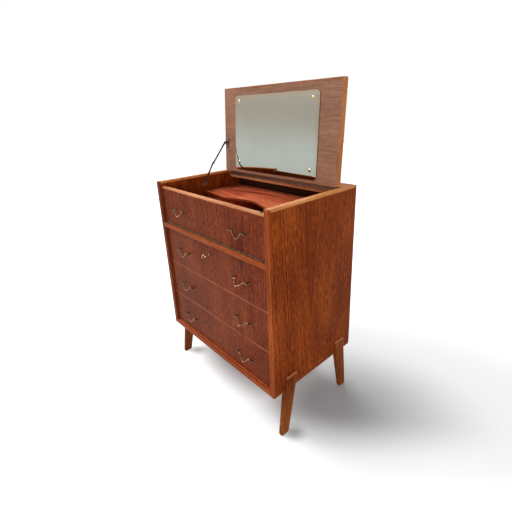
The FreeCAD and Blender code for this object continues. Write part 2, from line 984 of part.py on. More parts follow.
def post():
    """A turned post in front of the origin, its head bored across for the bail."""
    head_start = post_reach - post_head_length / 2
    head_end = post_reach + post_head_length / 2
    swell = post_head_length / 4
    stations = [
        (0, rosette_radius),
        (rosette_rim, rosette_radius),
        (rosette_height, stem_radius),
        (head_start, stem_radius),
        (head_start + swell, post_head_radius),
        (head_end - swell, post_head_radius),
        (head_end, post_tip_radius),
    ]
    body = turned(ORIGIN, -DEEP, stations, small_sides)
    reach = post_head_radius + overrun
    eye = bore(bail_wire_radius + running_gap, Vector(-reach, -post_reach, 0),
               Vector(reach, -post_reach, 0), bail_wire_sides)
    return body.cut(eye)


def pull_posts(z):
    model = post()
    posts = []
    for place in post_places(z):
        copy = model.copy()
        copy.translate(place)
        posts.append(copy)
    return group(posts)


def bends_of(points, radii):
    """For each inner point, the arc that rounds it: its start, middle and end."""
    arcs = []
    for before, corner, after, radius in zip(points, points[1:], points[2:], radii):
        into = (corner - before).normalize()
        out = (after - corner).normalize()
        turn = into.getAngle(out)
        reach = radius * math.tan(turn / 2)
        depth = radius / math.cos(turn / 2) - radius
        inward = (out - into).normalize()
        arcs.append((corner - into * reach, corner + inward * depth, corner + out * reach))
    return arcs


def bend_path(points, radii):
    """Edges of straight runs through the points, with an arc at each inner point."""
    edges = []
    start = points[0]
    for arc_start, middle, arc_end in bends_of(points, radii):
        edges.append(Part.LineSegment(start, arc_start).toShape())
        edges.append(Part.Arc(arc_start, middle, arc_end).toShape())
        start = arc_end
    edges.append(Part.LineSegment(start, points[-1]).toShape())
    return edges


def stepped_path(points, radii, step):
    """Points along the same path, with a corner at about every step degrees of bend."""
    path = [points[0]]
    for arc_start, middle, arc_end in bends_of(points, radii):
        arc = Part.Arc(arc_start, middle, arc_end)
        turn = math.degrees(arc.LastParameter - arc.FirstParameter)
        count = math.ceil(turn / step)
        for k in range(count + 1):
            path.append(arc.value(between(arc.FirstParameter, arc.LastParameter, k / count)))
    return path + [points[-1]]


def mitred_wire(path, radius, sides):
    """A wire of few faces along a path in the XZ plane, mitred at its corners."""
    rings = []
    for k, point in enumerate(path):
        into = (point - path[k - 1]).normalize() if k else None
        out = (path[k + 1] - point).normalize() if k + 1 < len(path) else None
        way = ((into or out) + (out or into)).normalize()
        spread = 1 / way.dot(into or out)
        side = DEEP.cross(way) * (radius * spread)
        corners = []
        for n in range(sides):
            turn = 2 * math.pi * (n + 0.5) / sides
            corners.append(point + side * math.cos(turn) + DEEP * (radius * math.sin(turn)))
        rings.append(corners)
    return skinned(rings)


def bail():
    """A swan-necked wire between two posts, hanging, centred on its pivot line."""
    half = post_spacing / 2
    right = [
        Vector(half + bail_end, 0, 0),
        Vector(half - bail_neck, 0, 0),
        Vector(half - bail_shoulder, 0, bail_shoulder_rise),
        Vector(half - bail_waist, 0, -bail_waist_drop),
    ]
    left = [Vector(-p.x, 0, p.z) for p in reversed(right)]
    points = right + [Vector(0, 0, -bail_drop)] + left
    bends = [bail_neck_bend, bail_shoulder_bend, bail_waist_bend]
    radii = bends + [bail_bottom_bend] + bends[::-1]
    path = stepped_path(points, radii, bail_bend_step)
    return mitred_wire(path, bail_wire_radius, bail_wire_sides)


def placed_bails(tilts, z):
    """The left and the right bail of a front, leaning out by their tilts."""
    bails = []
    for side, tilt in zip((-1, 1), tilts):
        copy = bail()
        copy.rotate(ORIGIN, ACROSS, -tilt)
        copy.translate(Vector(side * pull_place, front_y - post_reach, z))
        bails.append(copy)
    return bails


# Lock and key of the upper drawer
def lock_axis_z():
    return front_bottom_z(drawer_names.index("upper")) + front_height - key_drop


def lock_spans():
    z1 = front_bottom_z(drawer_names.index("upper")) + front_height
    half = lock_width / 2
    return (lock_place - half, lock_place + half, front_back_y - lock_thick,
            front_back_y, z1 - lock_height, z1)


def lock_recess():
    x0, x1, y0, y1, z0, z1 = lock_spans()
    p = lock_play
    return box(x0 - p, x1 + p, y0 - p, y1 + overrun, z0 - p, z1 + overrun)


def lock_bolt_depths():
    """Front and back of the bolt, in the back half of the lock."""
    y1 = front_back_y - lock_wall - bolt_play
    return y1 - bolt_thick, y1


def key_bit_y():
    """Front of the key's bit, just behind the lock case's front wall."""
    return front_back_y - lock_thick + lock_wall + bolt_play


def keyhole():
    """A round hole for the shank with a slot below it for the bit."""
    z = lock_axis_z()
    x0, x1 = lock_place - bit_thick / 2, lock_place + bit_thick / 2
    y0, y1 = front_y - escutcheon_thick - overrun, key_bit_y()
    shank = bore(key_shank_radius + keyhole_play, Vector(lock_place, y0, z),
                 Vector(lock_place, y1, z), small_sides)
    slot = box(x0 - keyhole_play, x1 + keyhole_play, y0, y1,
               z - bit_length - keyhole_play, z)
    return shank.fuse(slot)


def lock_case():
    """A box let into the back of the front, with a slot for the bolt in its top."""
    x0, x1, y0, y1, z0, z1 = lock_spans()
    w = lock_wall
    shell = box(x0, x1, y0, y1, z0, z1)
    room = box(x0 + w, x1 - w, y0 + w, y1 - w, z0 + w, z1 - w)
    b0, b1 = lock_bolt_depths()
    reach = bolt_width / 2 + bolt_play
    slot = box(lock_place - reach, lock_place + reach, b0 - bolt_play,
               b1 + bolt_play, z1 - w - overrun, z1 + overrun)
    return shell.cut([room, slot, keyhole()])


def lock_bolt():
    """The bolt drawn down, its top just under the front's top edge."""
    y0, y1 = lock_bolt_depths()
    z1 = lock_spans()[-1] - lock_play
    half = bolt_width / 2
    return box(lock_place - half, lock_place + half, y0, y1, z1 - bolt_height, z1)


def escutcheon():
    """A ring on the front with a sloping edge, cut through by the keyhole."""
    face = Vector(lock_place, front_y, lock_axis_z())
    stations = [
        (0, escutcheon_radius),
        (escutcheon_thick / 2, escutcheon_radius),
        (escutcheon_thick, escutcheon_radius - escutcheon_thick / 2),
    ]
    return turned(face, -DEEP, stations, key_sides).cut(keyhole())


def key():
    """Round bow, shank with a collar, and the bit inside the lock, pointing down."""
    z = lock_axis_z()
    bow_y = front_y - key_reach
    bit_y = key_bit_y()
    x0, x1 = lock_place - bow_thick / 2, lock_place + bow_thick / 2
    bow = rod(bow_radius, Vector(x0, bow_y, z), Vector(x1, bow_y, z), key_sides)
    hole = rod(bow_hole_radius, Vector(x0 - overrun, bow_y, z),
               Vector(x1 + overrun, bow_y, z), key_sides)
    shank = rod(key_shank_radius, Vector(lock_place, bow_y + bow_radius - bow_thick / 2, z),
                Vector(lock_place, bit_y + bit_width, z), small_sides)
    collar_y = front_y - escutcheon_thick - key_collar_gap
    collar = rod(key_collar_radius, Vector(lock_place, collar_y - key_collar_length, z),
                 Vector(lock_place, collar_y, z), small_sides)
    bit = box(lock_place - bit_thick / 2, lock_place + bit_thick / 2, bit_y,
              bit_y + bit_width, z - bit_length, z)
    return fused([bow.cut(hole), shank, collar, bit])


# All nodes, each under its own name
def build():
    nodes = {}
    nodes["side_panel_left"], nodes["side_panel_right"] = side_panels()
    right_strips = side_strips()
    nodes["side_lippings"] = group([s for strip in right_strips for s in both_sides(strip)])
    nodes["case_bottom"] = case_bottom()
    nodes["well_floor"] = well_floor()
    nodes["case_front_lippings"] = case_front_lippings()
    nodes["back_panel"] = back_panel()
    nodes["rear_top_board"] = rear_top_board()
    nodes["hinge_rail"] = hinge_rail()
    nodes["top_front_panel"] = top_front_panel()
    nodes["vanity_shelf"] = vanity_shelf()
    nodes["shelf_lipping"] = shelf_lipping()
    nodes["shelf_box"] = shelf_box()
    nodes["well_battens"] = well_battens()
    nodes["drawer_runners"] = drawer_runners()
    for index, end in enumerate(("front", "rear")):
        right, left = both_sides(leg(index))
        nodes["leg_%s_right" % end] = right
        nodes["leg_%s_left" % end] = left
    nodes["lid_bumpers"] = lid_bumpers()
    nodes["hinge_case_leaf"] = lid_hinge_leaf(0, 1)
    nodes["hinge_pins"] = hinge_pins()
    nodes["fall_hinge_case_leaf"] = fall_hinge_leaf(0, -1)
    nodes["fall_hinge_front_leaf"] = fall_hinge_leaf(1, 1)
    nodes["stay_side_plate"] = stay_side_plate()
    nodes["stay_plate_screws"] = stay_plate_screws()
    nodes["top_pull_posts"] = pull_posts(top_pull_z())
    nodes["lid_board"] = opened(lid_board())
    nodes["lid_lippings"] = opened(lid_lippings())
    nodes["mirror_glass"] = opened(mirror_glass())
    nodes["mirror_screws"] = opened(group([dome_screw(p) for p in dome_places()]))
    nodes["hinge_lid_leaf"] = opened(lid_hinge_leaf(1, -1))
    nodes["stay_lid_bracket"] = opened(stay_lid_bracket())
    nodes["stay_bracket_screws"] = opened(stay_bracket_screws())
    nodes["stay_lower_arm"] = stay_lower_arm()
    nodes["stay_upper_arm"] = stay_upper_arm()
    for index, name in enumerate(drawer_names):
        nodes["drawer_%s_front" % name] = drawer_front(index)
        nodes["drawer_%s_sides" % name] = drawer_sides(index)
        nodes["drawer_%s_bottom" % name] = drawer_bottom(index)
        nodes["drawer_%s_pull_posts" % name] = pull_posts(pull_z(index))
        left, right = placed_bails(drawer_bail_tilts[index], pull_z(index))
        nodes["bail_%s_left" % name] = left
        nodes["bail_%s_right" % name] = right
    nodes["bail_top_left"], nodes["bail_top_right"] = placed_bails(top_bail_tilts, top_pull_z())
    nodes["lock_case"] = lock_case()
    nodes["lock_bolt"] = lock_bolt()
    nodes["escutcheon"] = escutcheon()
    nodes["key"] = key()
    return nodes


def main():
    os.makedirs("parts", exist_ok=True)
    nodes = build()
    for name, shape in nodes.items():
        shape.translate(Vector(0, -centre_y, 0))
        shape.exportStep("parts/%s.step" % name)
    print("nodes", len(nodes), "moved forward by", round(centre_y, 4))
    print("pin", round(pin_y - centre_y, 4), round(pin_z, 4), "fall front's pin",
          round(fall_pin_y - centre_y, 4), round(fall_pin_z, 4))
    for label, point in stay_points().items():
        print("stay", label, round(point[0] - centre_y, 4), round(point[1], 4))
    print("pull heights", [round(pull_z(k), 3) for k in range(len(drawer_names))],
          round(top_pull_z(), 3))
    print("pull pivot", round(front_y - post_reach - centre_y, 3), "key", round(lock_axis_z(), 3))


main()
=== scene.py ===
import bmesh
import bpy
import json
import math
from mathutils import Matrix, Vector


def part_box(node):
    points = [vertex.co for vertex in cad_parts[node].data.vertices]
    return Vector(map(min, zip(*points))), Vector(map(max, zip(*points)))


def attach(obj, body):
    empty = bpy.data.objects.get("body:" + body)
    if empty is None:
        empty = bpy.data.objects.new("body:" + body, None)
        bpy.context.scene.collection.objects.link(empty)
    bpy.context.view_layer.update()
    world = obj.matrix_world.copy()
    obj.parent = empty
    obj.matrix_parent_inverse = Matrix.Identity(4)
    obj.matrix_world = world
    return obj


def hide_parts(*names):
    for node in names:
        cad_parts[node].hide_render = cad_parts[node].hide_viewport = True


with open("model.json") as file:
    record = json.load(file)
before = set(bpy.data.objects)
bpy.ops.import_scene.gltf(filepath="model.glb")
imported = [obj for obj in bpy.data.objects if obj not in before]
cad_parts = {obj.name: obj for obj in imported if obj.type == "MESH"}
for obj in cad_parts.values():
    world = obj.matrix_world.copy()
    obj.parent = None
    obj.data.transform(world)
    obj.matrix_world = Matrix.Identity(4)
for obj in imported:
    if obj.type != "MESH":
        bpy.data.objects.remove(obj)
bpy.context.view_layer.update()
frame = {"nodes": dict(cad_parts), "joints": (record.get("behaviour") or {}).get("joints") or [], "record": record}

# Axes of the frame, by number and as directions
X, Y, Z = 0, 1, 2
ACROSS = Vector((1, 0, 0))
DEEP = Vector((0, 1, 0))
UP = Vector((0, 0, 1))

# Camera: place in metres, angles in degrees, focal length and centre in pixels of the picture
picture = 512
camera_place = Vector((1.0662, -0.8737, 1.1688))
camera_azimuth = 48.1
camera_elevation = 19.6
camera_roll = -2.2
camera_focal = 350.1
camera_centre = (264.4, 233.0)
sensor = 36.0

# Lamps: place and aim in metres, size in metres, power in watts, colour
lamps = {
    "key": ((-1.88, -1.21, 2.84), (0.0, 0.0, 0.5), 1.5, 96.0, (1.0, 0.985, 0.96)),
    "fill": ((2.15, -1.75, 0.85), (0.2, 0.0, 0.5), 1.4, 38.0, (1.0, 0.985, 0.965)),
    "front": ((0.8, -3.1, 1.2), (0.0, 0.0, 0.5), 1.6, 4.0, (1.0, 0.985, 0.965)),
    "above": ((-0.8, 0.9, 3.1), (0.0, 0.0, 0.8), 1.2, 28.0, (1.0, 0.985, 0.95)),
}

# Lamps that mirror and metal don't show, the light of the white room, and the floor
mirror_hides = ("fill", "front")
room_light = 0.38
floor_half = 9.0
floor_colour = (190, 193, 196)
floor_roughness = 0.9

# Glow that makes the floor white away from the shadow. It grows outwards over an ellipse:
# its centre in metres, its turn in degrees, and its reach to the left, right, front and back.
# Near and far glow each have two shares of that reach, between which they grow, and a strength.
glow_centre = (0.40, 0.06)
glow_turn = 37.0
glow_reach = (0.447, 0.757, 0.248, 0.508)
glow_near = (0.116, 0.934, 0.541)
glow_far = (0.9, 3.0, 0.6)

# Where the near glow is held back, in metres: an ellipse under the case, and a round spot
# beside each foot, in whose middle only foot_shade_share of it is left
case_shade_centre = (-0.10, 0.107)
case_shade_half = (0.60, 0.341)
foot_places = ((-0.34, -0.16), (0.34, -0.16), (-0.34, 0.18), (0.34, 0.18))
foot_shade_shift = (0.034, 0.02)
foot_shade_reach = 0.062
foot_shade_share = 0.2

# Grey card that only mirror and metal see: metres, degrees, its strength at the bottom and
# at the top, and the heights on it between which its light turns from cool to warm
card_place = (-2.2, -2.6, 1.1)
card_half = (3.2, 2.4)
card_turn = -45.0
card_low = 0.50
card_high = 0.98
card_warm_from = -0.30
card_warm_full = 0.40
card_cool = (1.0, 1.01, 0.965, 1.0)
card_warm = (0.72, 0.62, 0.54, 1.0)

# Colours of the woods, sRGB from 0 to 255: dark, middle and light parts of the figure
wood_colours = {
    "side": ((66, 22, 3), (124, 51, 13), (168, 86, 30)),
    "front": ((56, 17, 6), (104, 43, 20), (152, 80, 45)),
    "flat": ((104, 38, 22), (178, 85, 55), (212, 122, 84)),
    "lid": ((88, 58, 44), (134, 96, 77), (166, 126, 104)),
    # A lighter lipping for the hinge rail, the lid lippings' edges and the top front's lip: painted light
    "rim": ((126, 74, 46), (184, 120, 80), (212, 154, 110)),
    # A lighter wood for the sides' top strips, the rear top board and the lid's ends: painted light
    "top": ((134, 74, 36), (190, 120, 68), (220, 154, 98)),
    "lid_lip": ((84, 50, 34), (138, 92, 68), (170, 124, 96)),
    "lipping": ((82, 30, 9), (134, 59, 21), (172, 91, 42)),
    "lip": ((88, 36, 19), (140, 72, 46), (176, 104, 72)),
    # A darker copy of the lipping for the left side's strips: painted shade
    "painted_shade_lip": ((62, 26, 14), (104, 48, 26), (138, 72, 42)),
    # A lighter wood for rounded edges: partly wear, partly a painted highlight
    "worn": ((106, 48, 22), (156, 82, 42), (190, 118, 70)),
    "leg": ((66, 25, 7), (130, 67, 26), (172, 100, 46)),
    # A darker copy of the leg wood for the front left leg: painted shade
    "painted_shade_leg": ((54, 20, 8), (104, 50, 22), (142, 80, 42)),
    # A much lighter wood for the top ends of the legs: painted highlight
    "painted_highlight_ledge": ((176, 112, 64), (222, 154, 100), (242, 184, 130)),
    "pale": ((150, 112, 70), (196, 158, 110), (220, 186, 140)),
    "back": ((96, 60, 34), (140, 94, 56), (166, 118, 76)),
    # A very dark wood for the back's inner face: painted shade
    "stained": ((34, 20, 14), (62, 38, 28), (88, 56, 40)),
}

# Growth rings: their pitch in metres; how they warp, as counts per metre across and along
# the fibres and metres; and how their strength changes from place to place
ring_pitch = 0.0065
warp_wide = (6.0, 1.6, 0.010)
warp_fine = (16.0, 9.0, 0.0022)
warp_more = 0.6
ring_patch_counts = (7.0, 4.0)
ring_patch_weight = 1.6
ring_strength = 0.9

# Other layers of the grain: counts per metre across and along the fibres, and weights
patch_counts = (11.0, 3.4)
fibre_counts = (420.0, 9.0)
fibre_weight = 0.7
fleck_counts = (300.0, 40.0)
front_fleck_counts = (360.0, 54.0)
pore_counts = (1250.0, 42.0)
pore_range = (0.10, 0.22)
pore_dark = 0.45
tone_stops = (0.12, 0.5, 0.88)

# How the pieces of wood in one node differ: the step from piece to piece, how far it moves
# the grain in metres, and how much it lightens the colour
plank_step = 0.37
plank_shift = 5.3
plank_weight = 0.06

# Surface of the wood: what fibres, flecks and pores add to roughness and relief
fleck_rough = 0.14
pore_rough = 0.16
fibre_relief = 0.5
fleck_relief = 0.3
pore_relief = 0.8
wood_bump = (0.22, 0.0004)
wood_specular = 0.04
strip_roughness = 0.42
bare_roughness = 0.6

# Tarnish: counts per metre of its clouds and specks, and how they show
cloud_count = 160.0
speck_count = 1400.0
speck_share = 0.2
tarnish_range = (0.82, 1.02)
tarnish_cover = 0.5
tarnish_rough = 0.18
speck_rough = 0.1
metal_bump = (0.12, 0.0002)

# Metals: name, clean colour, tarnished colour, how far tarnish covers them, and roughness
metals = {
    "brass": ("brass_worn", (122, 100, 80), (60, 48, 40), 0.55, 0.3),
    "dome": ("brass_bright", (196, 166, 118), (118, 90, 56), 0.4, 0.2),
    "hinge": ("brass_dull", (162, 138, 118), (128, 110, 96), 0.6, 0.42),
    "shade": ("brass_shaded", (94, 82, 68), (66, 56, 46), 0.6, 0.5),
    "arm": ("steel_dark", (104, 92, 80), (82, 70, 60), 0.5, 0.36),
    "screw": ("steel_bright", (206, 198, 186), (150, 140, 126), 0.35, 0.26),
    "pull": ("brass_wire", (160, 116, 84), (74, 48, 34), 0.58, 0.3),
    "post": ("brass_dark", (112, 76, 50), (44, 28, 18), 0.62, 0.34),
    "key": ("brass_pale", (206, 176, 124), (128, 98, 62), 0.4, 0.28),
    "steel": ("lock_steel", (140, 136, 130), (84, 78, 72), 0.4, 0.34),
}

# Silvered glass: name, colour and roughness; its cloudiness
mirrors = {
    "mirror": ("mirror_silver", (214, 220, 214), 0.015),
    "bevel": ("mirror_bevel", (214, 210, 196), 0.03),
    "rim": ("mirror_rim", (120, 140, 126), 0.2),
}
mirror_count = 9.0
mirror_dim = (150, 158, 150)
mirror_cloud = 0.25
mirror_rough = 0.02

# Felt of the lid's bumpers
felt_colour = (30, 24, 20)
felt_lighter = 30
felt_count = 2600.0
felt_roughness = 0.95
felt_bump = (0.6, 0.0003)

# Rounding of edges in metres
soft_edge = 0.0011
front_edge = 0.8 * soft_edge
thin_edge = soft_edge / 2
fine_edge = 0.0004
edge_steps = 3

# Meshes: grid per metre on which corners are the same, angles, and smallest sizes in metres
weld = 1e6
flat_angle = math.radians(0.4)
crease_angle = math.radians(40)
shade_angle = math.radians(35)
same_point = 1e-6
least_radius = 1e-5

# A face looks along a direction when its normal does so by more than this
facing = 0.5

# Bails, in metres. bail_runs are the corners of the wire's right half, from its end inwards:
# how far across and above the pivot in its post, and the radius of the bend there.
# bail_swing_in is the angle at which the wire's bottom meets the front, in degrees.
post_spacing = 0.077
bail_wire = 0.002
bail_sides = 16
bail_runs = (
    (0.0065, 0.0, 0.0),
    (-0.0073, 0.0, 0.0045),
    (-0.0125, 0.005, 0.0033),
    (-0.0215, -0.011, 0.025),
)
bail_drop = 0.0265
bail_bottom_bend = 0.012
bail_swing_in = -20.0
bend_step = math.radians(12)

# A wire's rounded end: shares of its length and of the full radius; its length in radii
wire_ends = ((0.0, 0.55), (0.35, 0.87), (1.0, 1.0))
wire_end_share = 0.5

# Posts of the pulls: distance from the front and radius
post_profile = (
    (0.0, 0.0070),
    (0.0006, 0.0070),
    (0.0012, 0.0066),
    (0.0016, 0.0055),
    (0.0026, 0.0038),
    (0.0042, 0.0031),
    (0.0078, 0.0030),
    (0.0092, 0.0033),
    (0.0100, 0.0039),
    (0.0112, 0.0044),
    (0.0130, 0.0045),
    (0.0148, 0.0043),
    (0.0158, 0.0036),
    (0.0164, 0.0027),
    (0.0167, 0.0014),
    (0.0168, 0.0),
)
lathe_sides = 28

# Domed mirror screws: distance from the tip of the dome outwards, and radius
dome_profile = (
    (-0.0172, 0.0020),
    (-0.0032, 0.0020),
    (-0.0032, 0.0070),
    (-0.0027, 0.0069),
    (-0.0020, 0.0060),
    (-0.0012, 0.0048),
    (-0.0006, 0.0034),
    (-0.0002, 0.0019),
    (0.0, 0.0),
)
dome_tip = 0.0003

# Faces of the glass that look forwards by less than this are its bevel
glass_face = 0.995

# Faces of a leg that look up more steeply than this are its top end, which gets a much
# lighter wood as a painted highlight. Legs that get a darker copy of the leg wood as painted shade
leg_top_slope = 0.4
painted_shade_legs = ("leg_front_left",)

# Continuous hinges, in metres. Each knuckle of the solids is drawn as three short ones, and
# a leaf stays knuckle_room away from the pin beside the knuckles of the other leaf.
knuckle_count = 15
knuckle_split = 3
knuckle_radius = 0.0022
knuckle_chamfer = 0.0002
knuckle_gap = 0.0003
knuckle_room = 0.00256
knuckle_sides = 16
leaf_thick = 0.001
hinge_gap = 0.003
hinge_height = 0.021
fall_gap = 0.0048
fall_height = 0.0203
hinge_screws = 10
hinge_screw_radius = 0.0028
screw_place_share = 0.58

# Slotted heads: rise in metres, shares of rise and radius, and the turn from one to the next
head_rise = 0.0003
head_base = 0.4
head_top = 0.9
slot_half = 0.14
head_sides = 16
screw_turn = 1.3
hinge_screw_turn = 1.7

drawer_names = ("lower", "middle", "upper")

# Pins that hold the back: how many, how far in from the edge, and their low domed heads
pins_across = 6
pins_up = 6
pin_inset = 0.0065
pin_profile = ((-0.0008, 0.0016), (0.0001, 0.0016), (0.0003, 0.0011), (0.0004, 0.0))


def linear(colour):
    """An sRGB colour from 0 to 255 as the linear colour that a shader takes."""
    parts = [c / 255 for c in colour]
    return [c / 12.92 if c <= 0.04045 else ((c + 0.055) / 1.055) ** 2.4 for c in parts] + [1.0]


# Camera, lights and floor
def make_camera():
    a, e, r = (math.radians(v) for v in (camera_azimuth, camera_elevation, camera_roll))
    back = Vector((math.sin(a) * math.cos(e), -math.cos(a) * math.cos(e), math.sin(e)))
    level = Vector((math.cos(a), math.sin(a), 0))
    upright = back.cross(level)
    right = level * math.cos(r) + upright * math.sin(r)
    up = upright * math.cos(r) - level * math.sin(r)
    data = bpy.data.cameras.new("camera")
    data.sensor_width = sensor
    data.lens = camera_focal / picture * sensor
    data.shift_x = 0.5 - camera_centre[0] / picture
    data.shift_y = camera_centre[1] / picture - 0.5
    camera = bpy.data.objects.new("camera", data)
    turn = Matrix((right, up, back)).transposed()
    camera.matrix_world = Matrix.Translation(camera_place) @ turn.to_4x4()
    bpy.context.scene.collection.objects.link(camera)
    bpy.context.scene.camera = camera


def make_lamps():
    for name, (place, aim, size, power, colour) in lamps.items():
        data = bpy.data.lights.new(name, "AREA")
        data.shape = "DISK"
        data.size = size
        data.energy = power
        data.color = colour
        lamp = bpy.data.objects.new(name, data)
        turn = (Vector(aim) - Vector(place)).to_track_quat("-Z", "Y").to_matrix()
        lamp.matrix_world = Matrix.Translation(place) @ turn.to_4x4()
        lamp.visible_glossy = name not in mirror_hides
        bpy.context.scene.collection.objects.link(lamp)


class Graph:
    """Builds a node tree with short calls; each value is a number, a colour or a socket."""

    def __init__(self, tree):
        self.tree = tree

    def node(self, kind, **settings):
        made = self.tree.nodes.new("ShaderNode" + kind)
        for key, value in settings.items():
            setattr(made, key, value)
        return made

    def feed(self, socket, value):
        if isinstance(value, bpy.types.NodeSocket):
            self.tree.links.new(value, socket)
        else:
            socket.default_value = value

    def math(self, operation, *values):
        made = self.node("Math", operation=operation)
        for socket, value in zip(made.inputs, values):
            self.feed(socket, value)
        return made.outputs[0]

    def total(self, *values):
        result = values[0]
        for value in values[1:]:
            result = self.math("ADD", result, value)
        return result

    def times(self, first, second):
        return self.math("MULTIPLY", first, second)

    def minus(self, first, second):
        return self.math("SUBTRACT", first, second)

    def length(self, first, second):
        return self.math("SQRT", self.total(self.times(first, first), self.times(second, second)))

    def point(self, x, y, z):
        made = self.node("CombineXYZ")
        for socket, value in zip(made.inputs, (x, y, z)):
            self.feed(socket, value)
        return made.outputs[0]

    def noise(self, vector, detail, roughness):
        made = self.node("TexNoise")
        made.inputs["Scale"].default_value = 1.0
        made.inputs["Detail"].default_value = detail
        made.inputs["Roughness"].default_value = roughness
        self.feed(made.inputs["Vector"], vector)
        return made.outputs["Fac"]

    def cloud(self, count, detail, roughness=0.5):
        """Noise in the object's own space, with so many counts per metre."""
        x, y, z = self.object_point()
        spot = self.point(self.times(x, count), self.times(y, count), self.times(z, count))
        return self.noise(spot, detail, roughness)

    def rings(self, distance, detail=3.0, roughness=0.55):
        made = self.node("TexNoise", noise_dimensions="1D")
        made.inputs["Scale"].default_value = 1.0
        made.inputs["Detail"].default_value = detail
        made.inputs["Roughness"].default_value = roughness
        self.feed(made.inputs["W"], distance)
        return made.outputs["Fac"]

    def rescale(self, value, low, high, start=0.0, end=1.0):
        made = self.node("MapRange", interpolation_type="SMOOTHSTEP")
        for socket, number in zip(made.inputs, (value, low, high, start, end)):
            self.feed(socket, number)
        return made.outputs[0]

    def stops(self, value, colours):
        made = self.node("ValToRGB")
        band = made.color_ramp
        while len(band.elements) < len(colours):
            band.elements.new(0.5)
        for element, (place, colour) in zip(band.elements, colours):
            element.position = place
            element.color = linear(colour)
        self.feed(made.inputs[0], value)
        return made.outputs[0]

    def blend(self, share, first, second):
        made = self.node("Mix", data_type="RGBA")
        self.feed(made.inputs[0], share)
        self.feed(made.inputs[6], first)
        self.feed(made.inputs[7], second)
        return made.outputs[2]

    def bump(self, height, strength, distance):
        made = self.node("Bump")
        made.inputs["Strength"].default_value = strength
        made.inputs["Distance"].default_value = distance
        self.feed(made.inputs["Height"], height)
        return made.outputs[0]

    def object_point(self):
        parts = self.node("SeparateXYZ")
        self.feed(parts.inputs[0], self.node("TexCoord").outputs["Object"])
        return parts.outputs


def new_material(name):
    made = bpy.data.materials.new(name)
    made.use_nodes = True
    return made, Graph(made.node_tree), made.node_tree.nodes["Principled BSDF"]


def seen_by_eye_or_gloss(graph):
    """1 for rays from the camera, from glossy and from clear surfaces, else 0."""
    path = graph.node("LightPath").outputs
    either = graph.math("MAXIMUM", path["Is Camera Ray"], path["Is Glossy Ray"])
    return graph.math("MAXIMUM", either, path["Is Transmission Ray"])


def make_world():
    world = bpy.data.worlds.new("studio")
    bpy.context.scene.world = world
    world.use_nodes = True
    graph = Graph(world.node_tree)
    background = world.node_tree.nodes["Background"]
    background.inputs["Color"].default_value = (1, 1, 1, 1)
    seen = seen_by_eye_or_gloss(graph)
    graph.feed(background.inputs["Strength"], graph.rescale(seen, 0.0, 1.0, room_light, 1.0))


def outward(graph, value, low_reach, high_reach):
    """Distance from zero as a share of the reach on that side."""
    low = graph.times(value, -1 / low_reach)
    return graph.math("MAXIMUM", low, graph.times(value, 1 / high_reach))


def floor_glow(graph):
    """Strength of the floor's own light at each of its points."""
    x, y, _ = graph.object_point()
    left, right, front, back = glow_reach
    c = math.cos(math.radians(glow_turn))
    s = math.sin(math.radians(glow_turn))
    dx = graph.minus(x, glow_centre[0])
    dy = graph.minus(y, glow_centre[1])
    level = outward(graph, graph.total(graph.times(dx, c), graph.times(dy, s)), left, right)
    deep = outward(graph, graph.total(graph.times(dx, -s), graph.times(dy, c)), front, back)
    away = graph.length(level, deep)
    near = graph.rescale(away, glow_near[0], glow_near[1])
    wide = graph.times(graph.minus(x, case_shade_centre[0]), 1 / case_shade_half[0])
    deep = graph.times(graph.minus(y, case_shade_centre[1]), 1 / case_shade_half[1])
    under = graph.rescale(graph.total(graph.times(wide, wide), graph.times(deep, deep)), 0.0, 1.0)
    near = graph.math("MINIMUM", near, under)
    for place in foot_places:
        dx = graph.minus(x, place[0] + foot_shade_shift[0])
        dy = graph.minus(y, place[1] + foot_shade_shift[1])
        foot = graph.rescale(graph.length(dx, dy), 0.0, foot_shade_reach, foot_shade_share, 1.0)
        near = graph.times(near, foot)
    far = graph.rescale(away, glow_far[0], glow_far[1], 0.0, glow_far[2])
    return graph.total(graph.times(near, glow_near[2]), far)


def make_floor():
    mesh = bpy.data.meshes.new("floor")
    h = floor_half
    mesh.from_pydata([(-h, -h, 0), (h, -h, 0), (h, h, 0), (-h, h, 0)], [], [(0, 1, 2, 3)])
    floor = bpy.data.objects.new("floor", mesh)
    bpy.context.scene.collection.objects.link(floor)
    material, graph, shader = new_material("floor_white")
    shader.inputs["Base Color"].default_value = linear(floor_colour)
    shader.inputs["Roughness"].default_value = floor_roughness
    shader.inputs["Specular IOR Level"].default_value = 0.0
    shader.inputs["Emission Color"].default_value = (1, 1, 1, 1)
    glow = graph.times(floor_glow(graph), seen_by_eye_or_gloss(graph))
    graph.feed(shader.inputs["Emission Strength"], glow)
    mesh.materials.append(material)


def make_card():
    """A dim card in front on the left, for mirror and metal to reflect."""
    mesh = bpy.data.meshes.new("card")
    w, h = card_half
    mesh.from_pydata([(-w, 0, -h), (w, 0, -h), (w, 0, h), (-w, 0, h)], [], [(0, 1, 2, 3)])
    card = bpy.data.objects.new("card", mesh)
    card.location = card_place
    card.rotation_euler = (0, 0, math.radians(card_turn))
    bpy.context.scene.collection.objects.link(card)
    material = bpy.data.materials.new("card_grey")
    material.use_nodes = True
    graph = Graph(material.node_tree)
    z = graph.object_point()[Z]
    glow = graph.node("Emission")
    graph.feed(glow.inputs["Strength"], graph.rescale(z, -h, h, card_low, card_high))
    warm = graph.rescale(z, card_warm_from, card_warm_full)
    graph.feed(glow.inputs["Color"], graph.blend(warm, card_cool, card_warm))
    graph.feed(material.node_tree.nodes["Material Output"].inputs[0], glow.outputs[0])
    mesh.materials.append(material)
    card.visible_camera = False
    card.visible_diffuse = False
    card.visible_shadow = False
    card.visible_transmission = False


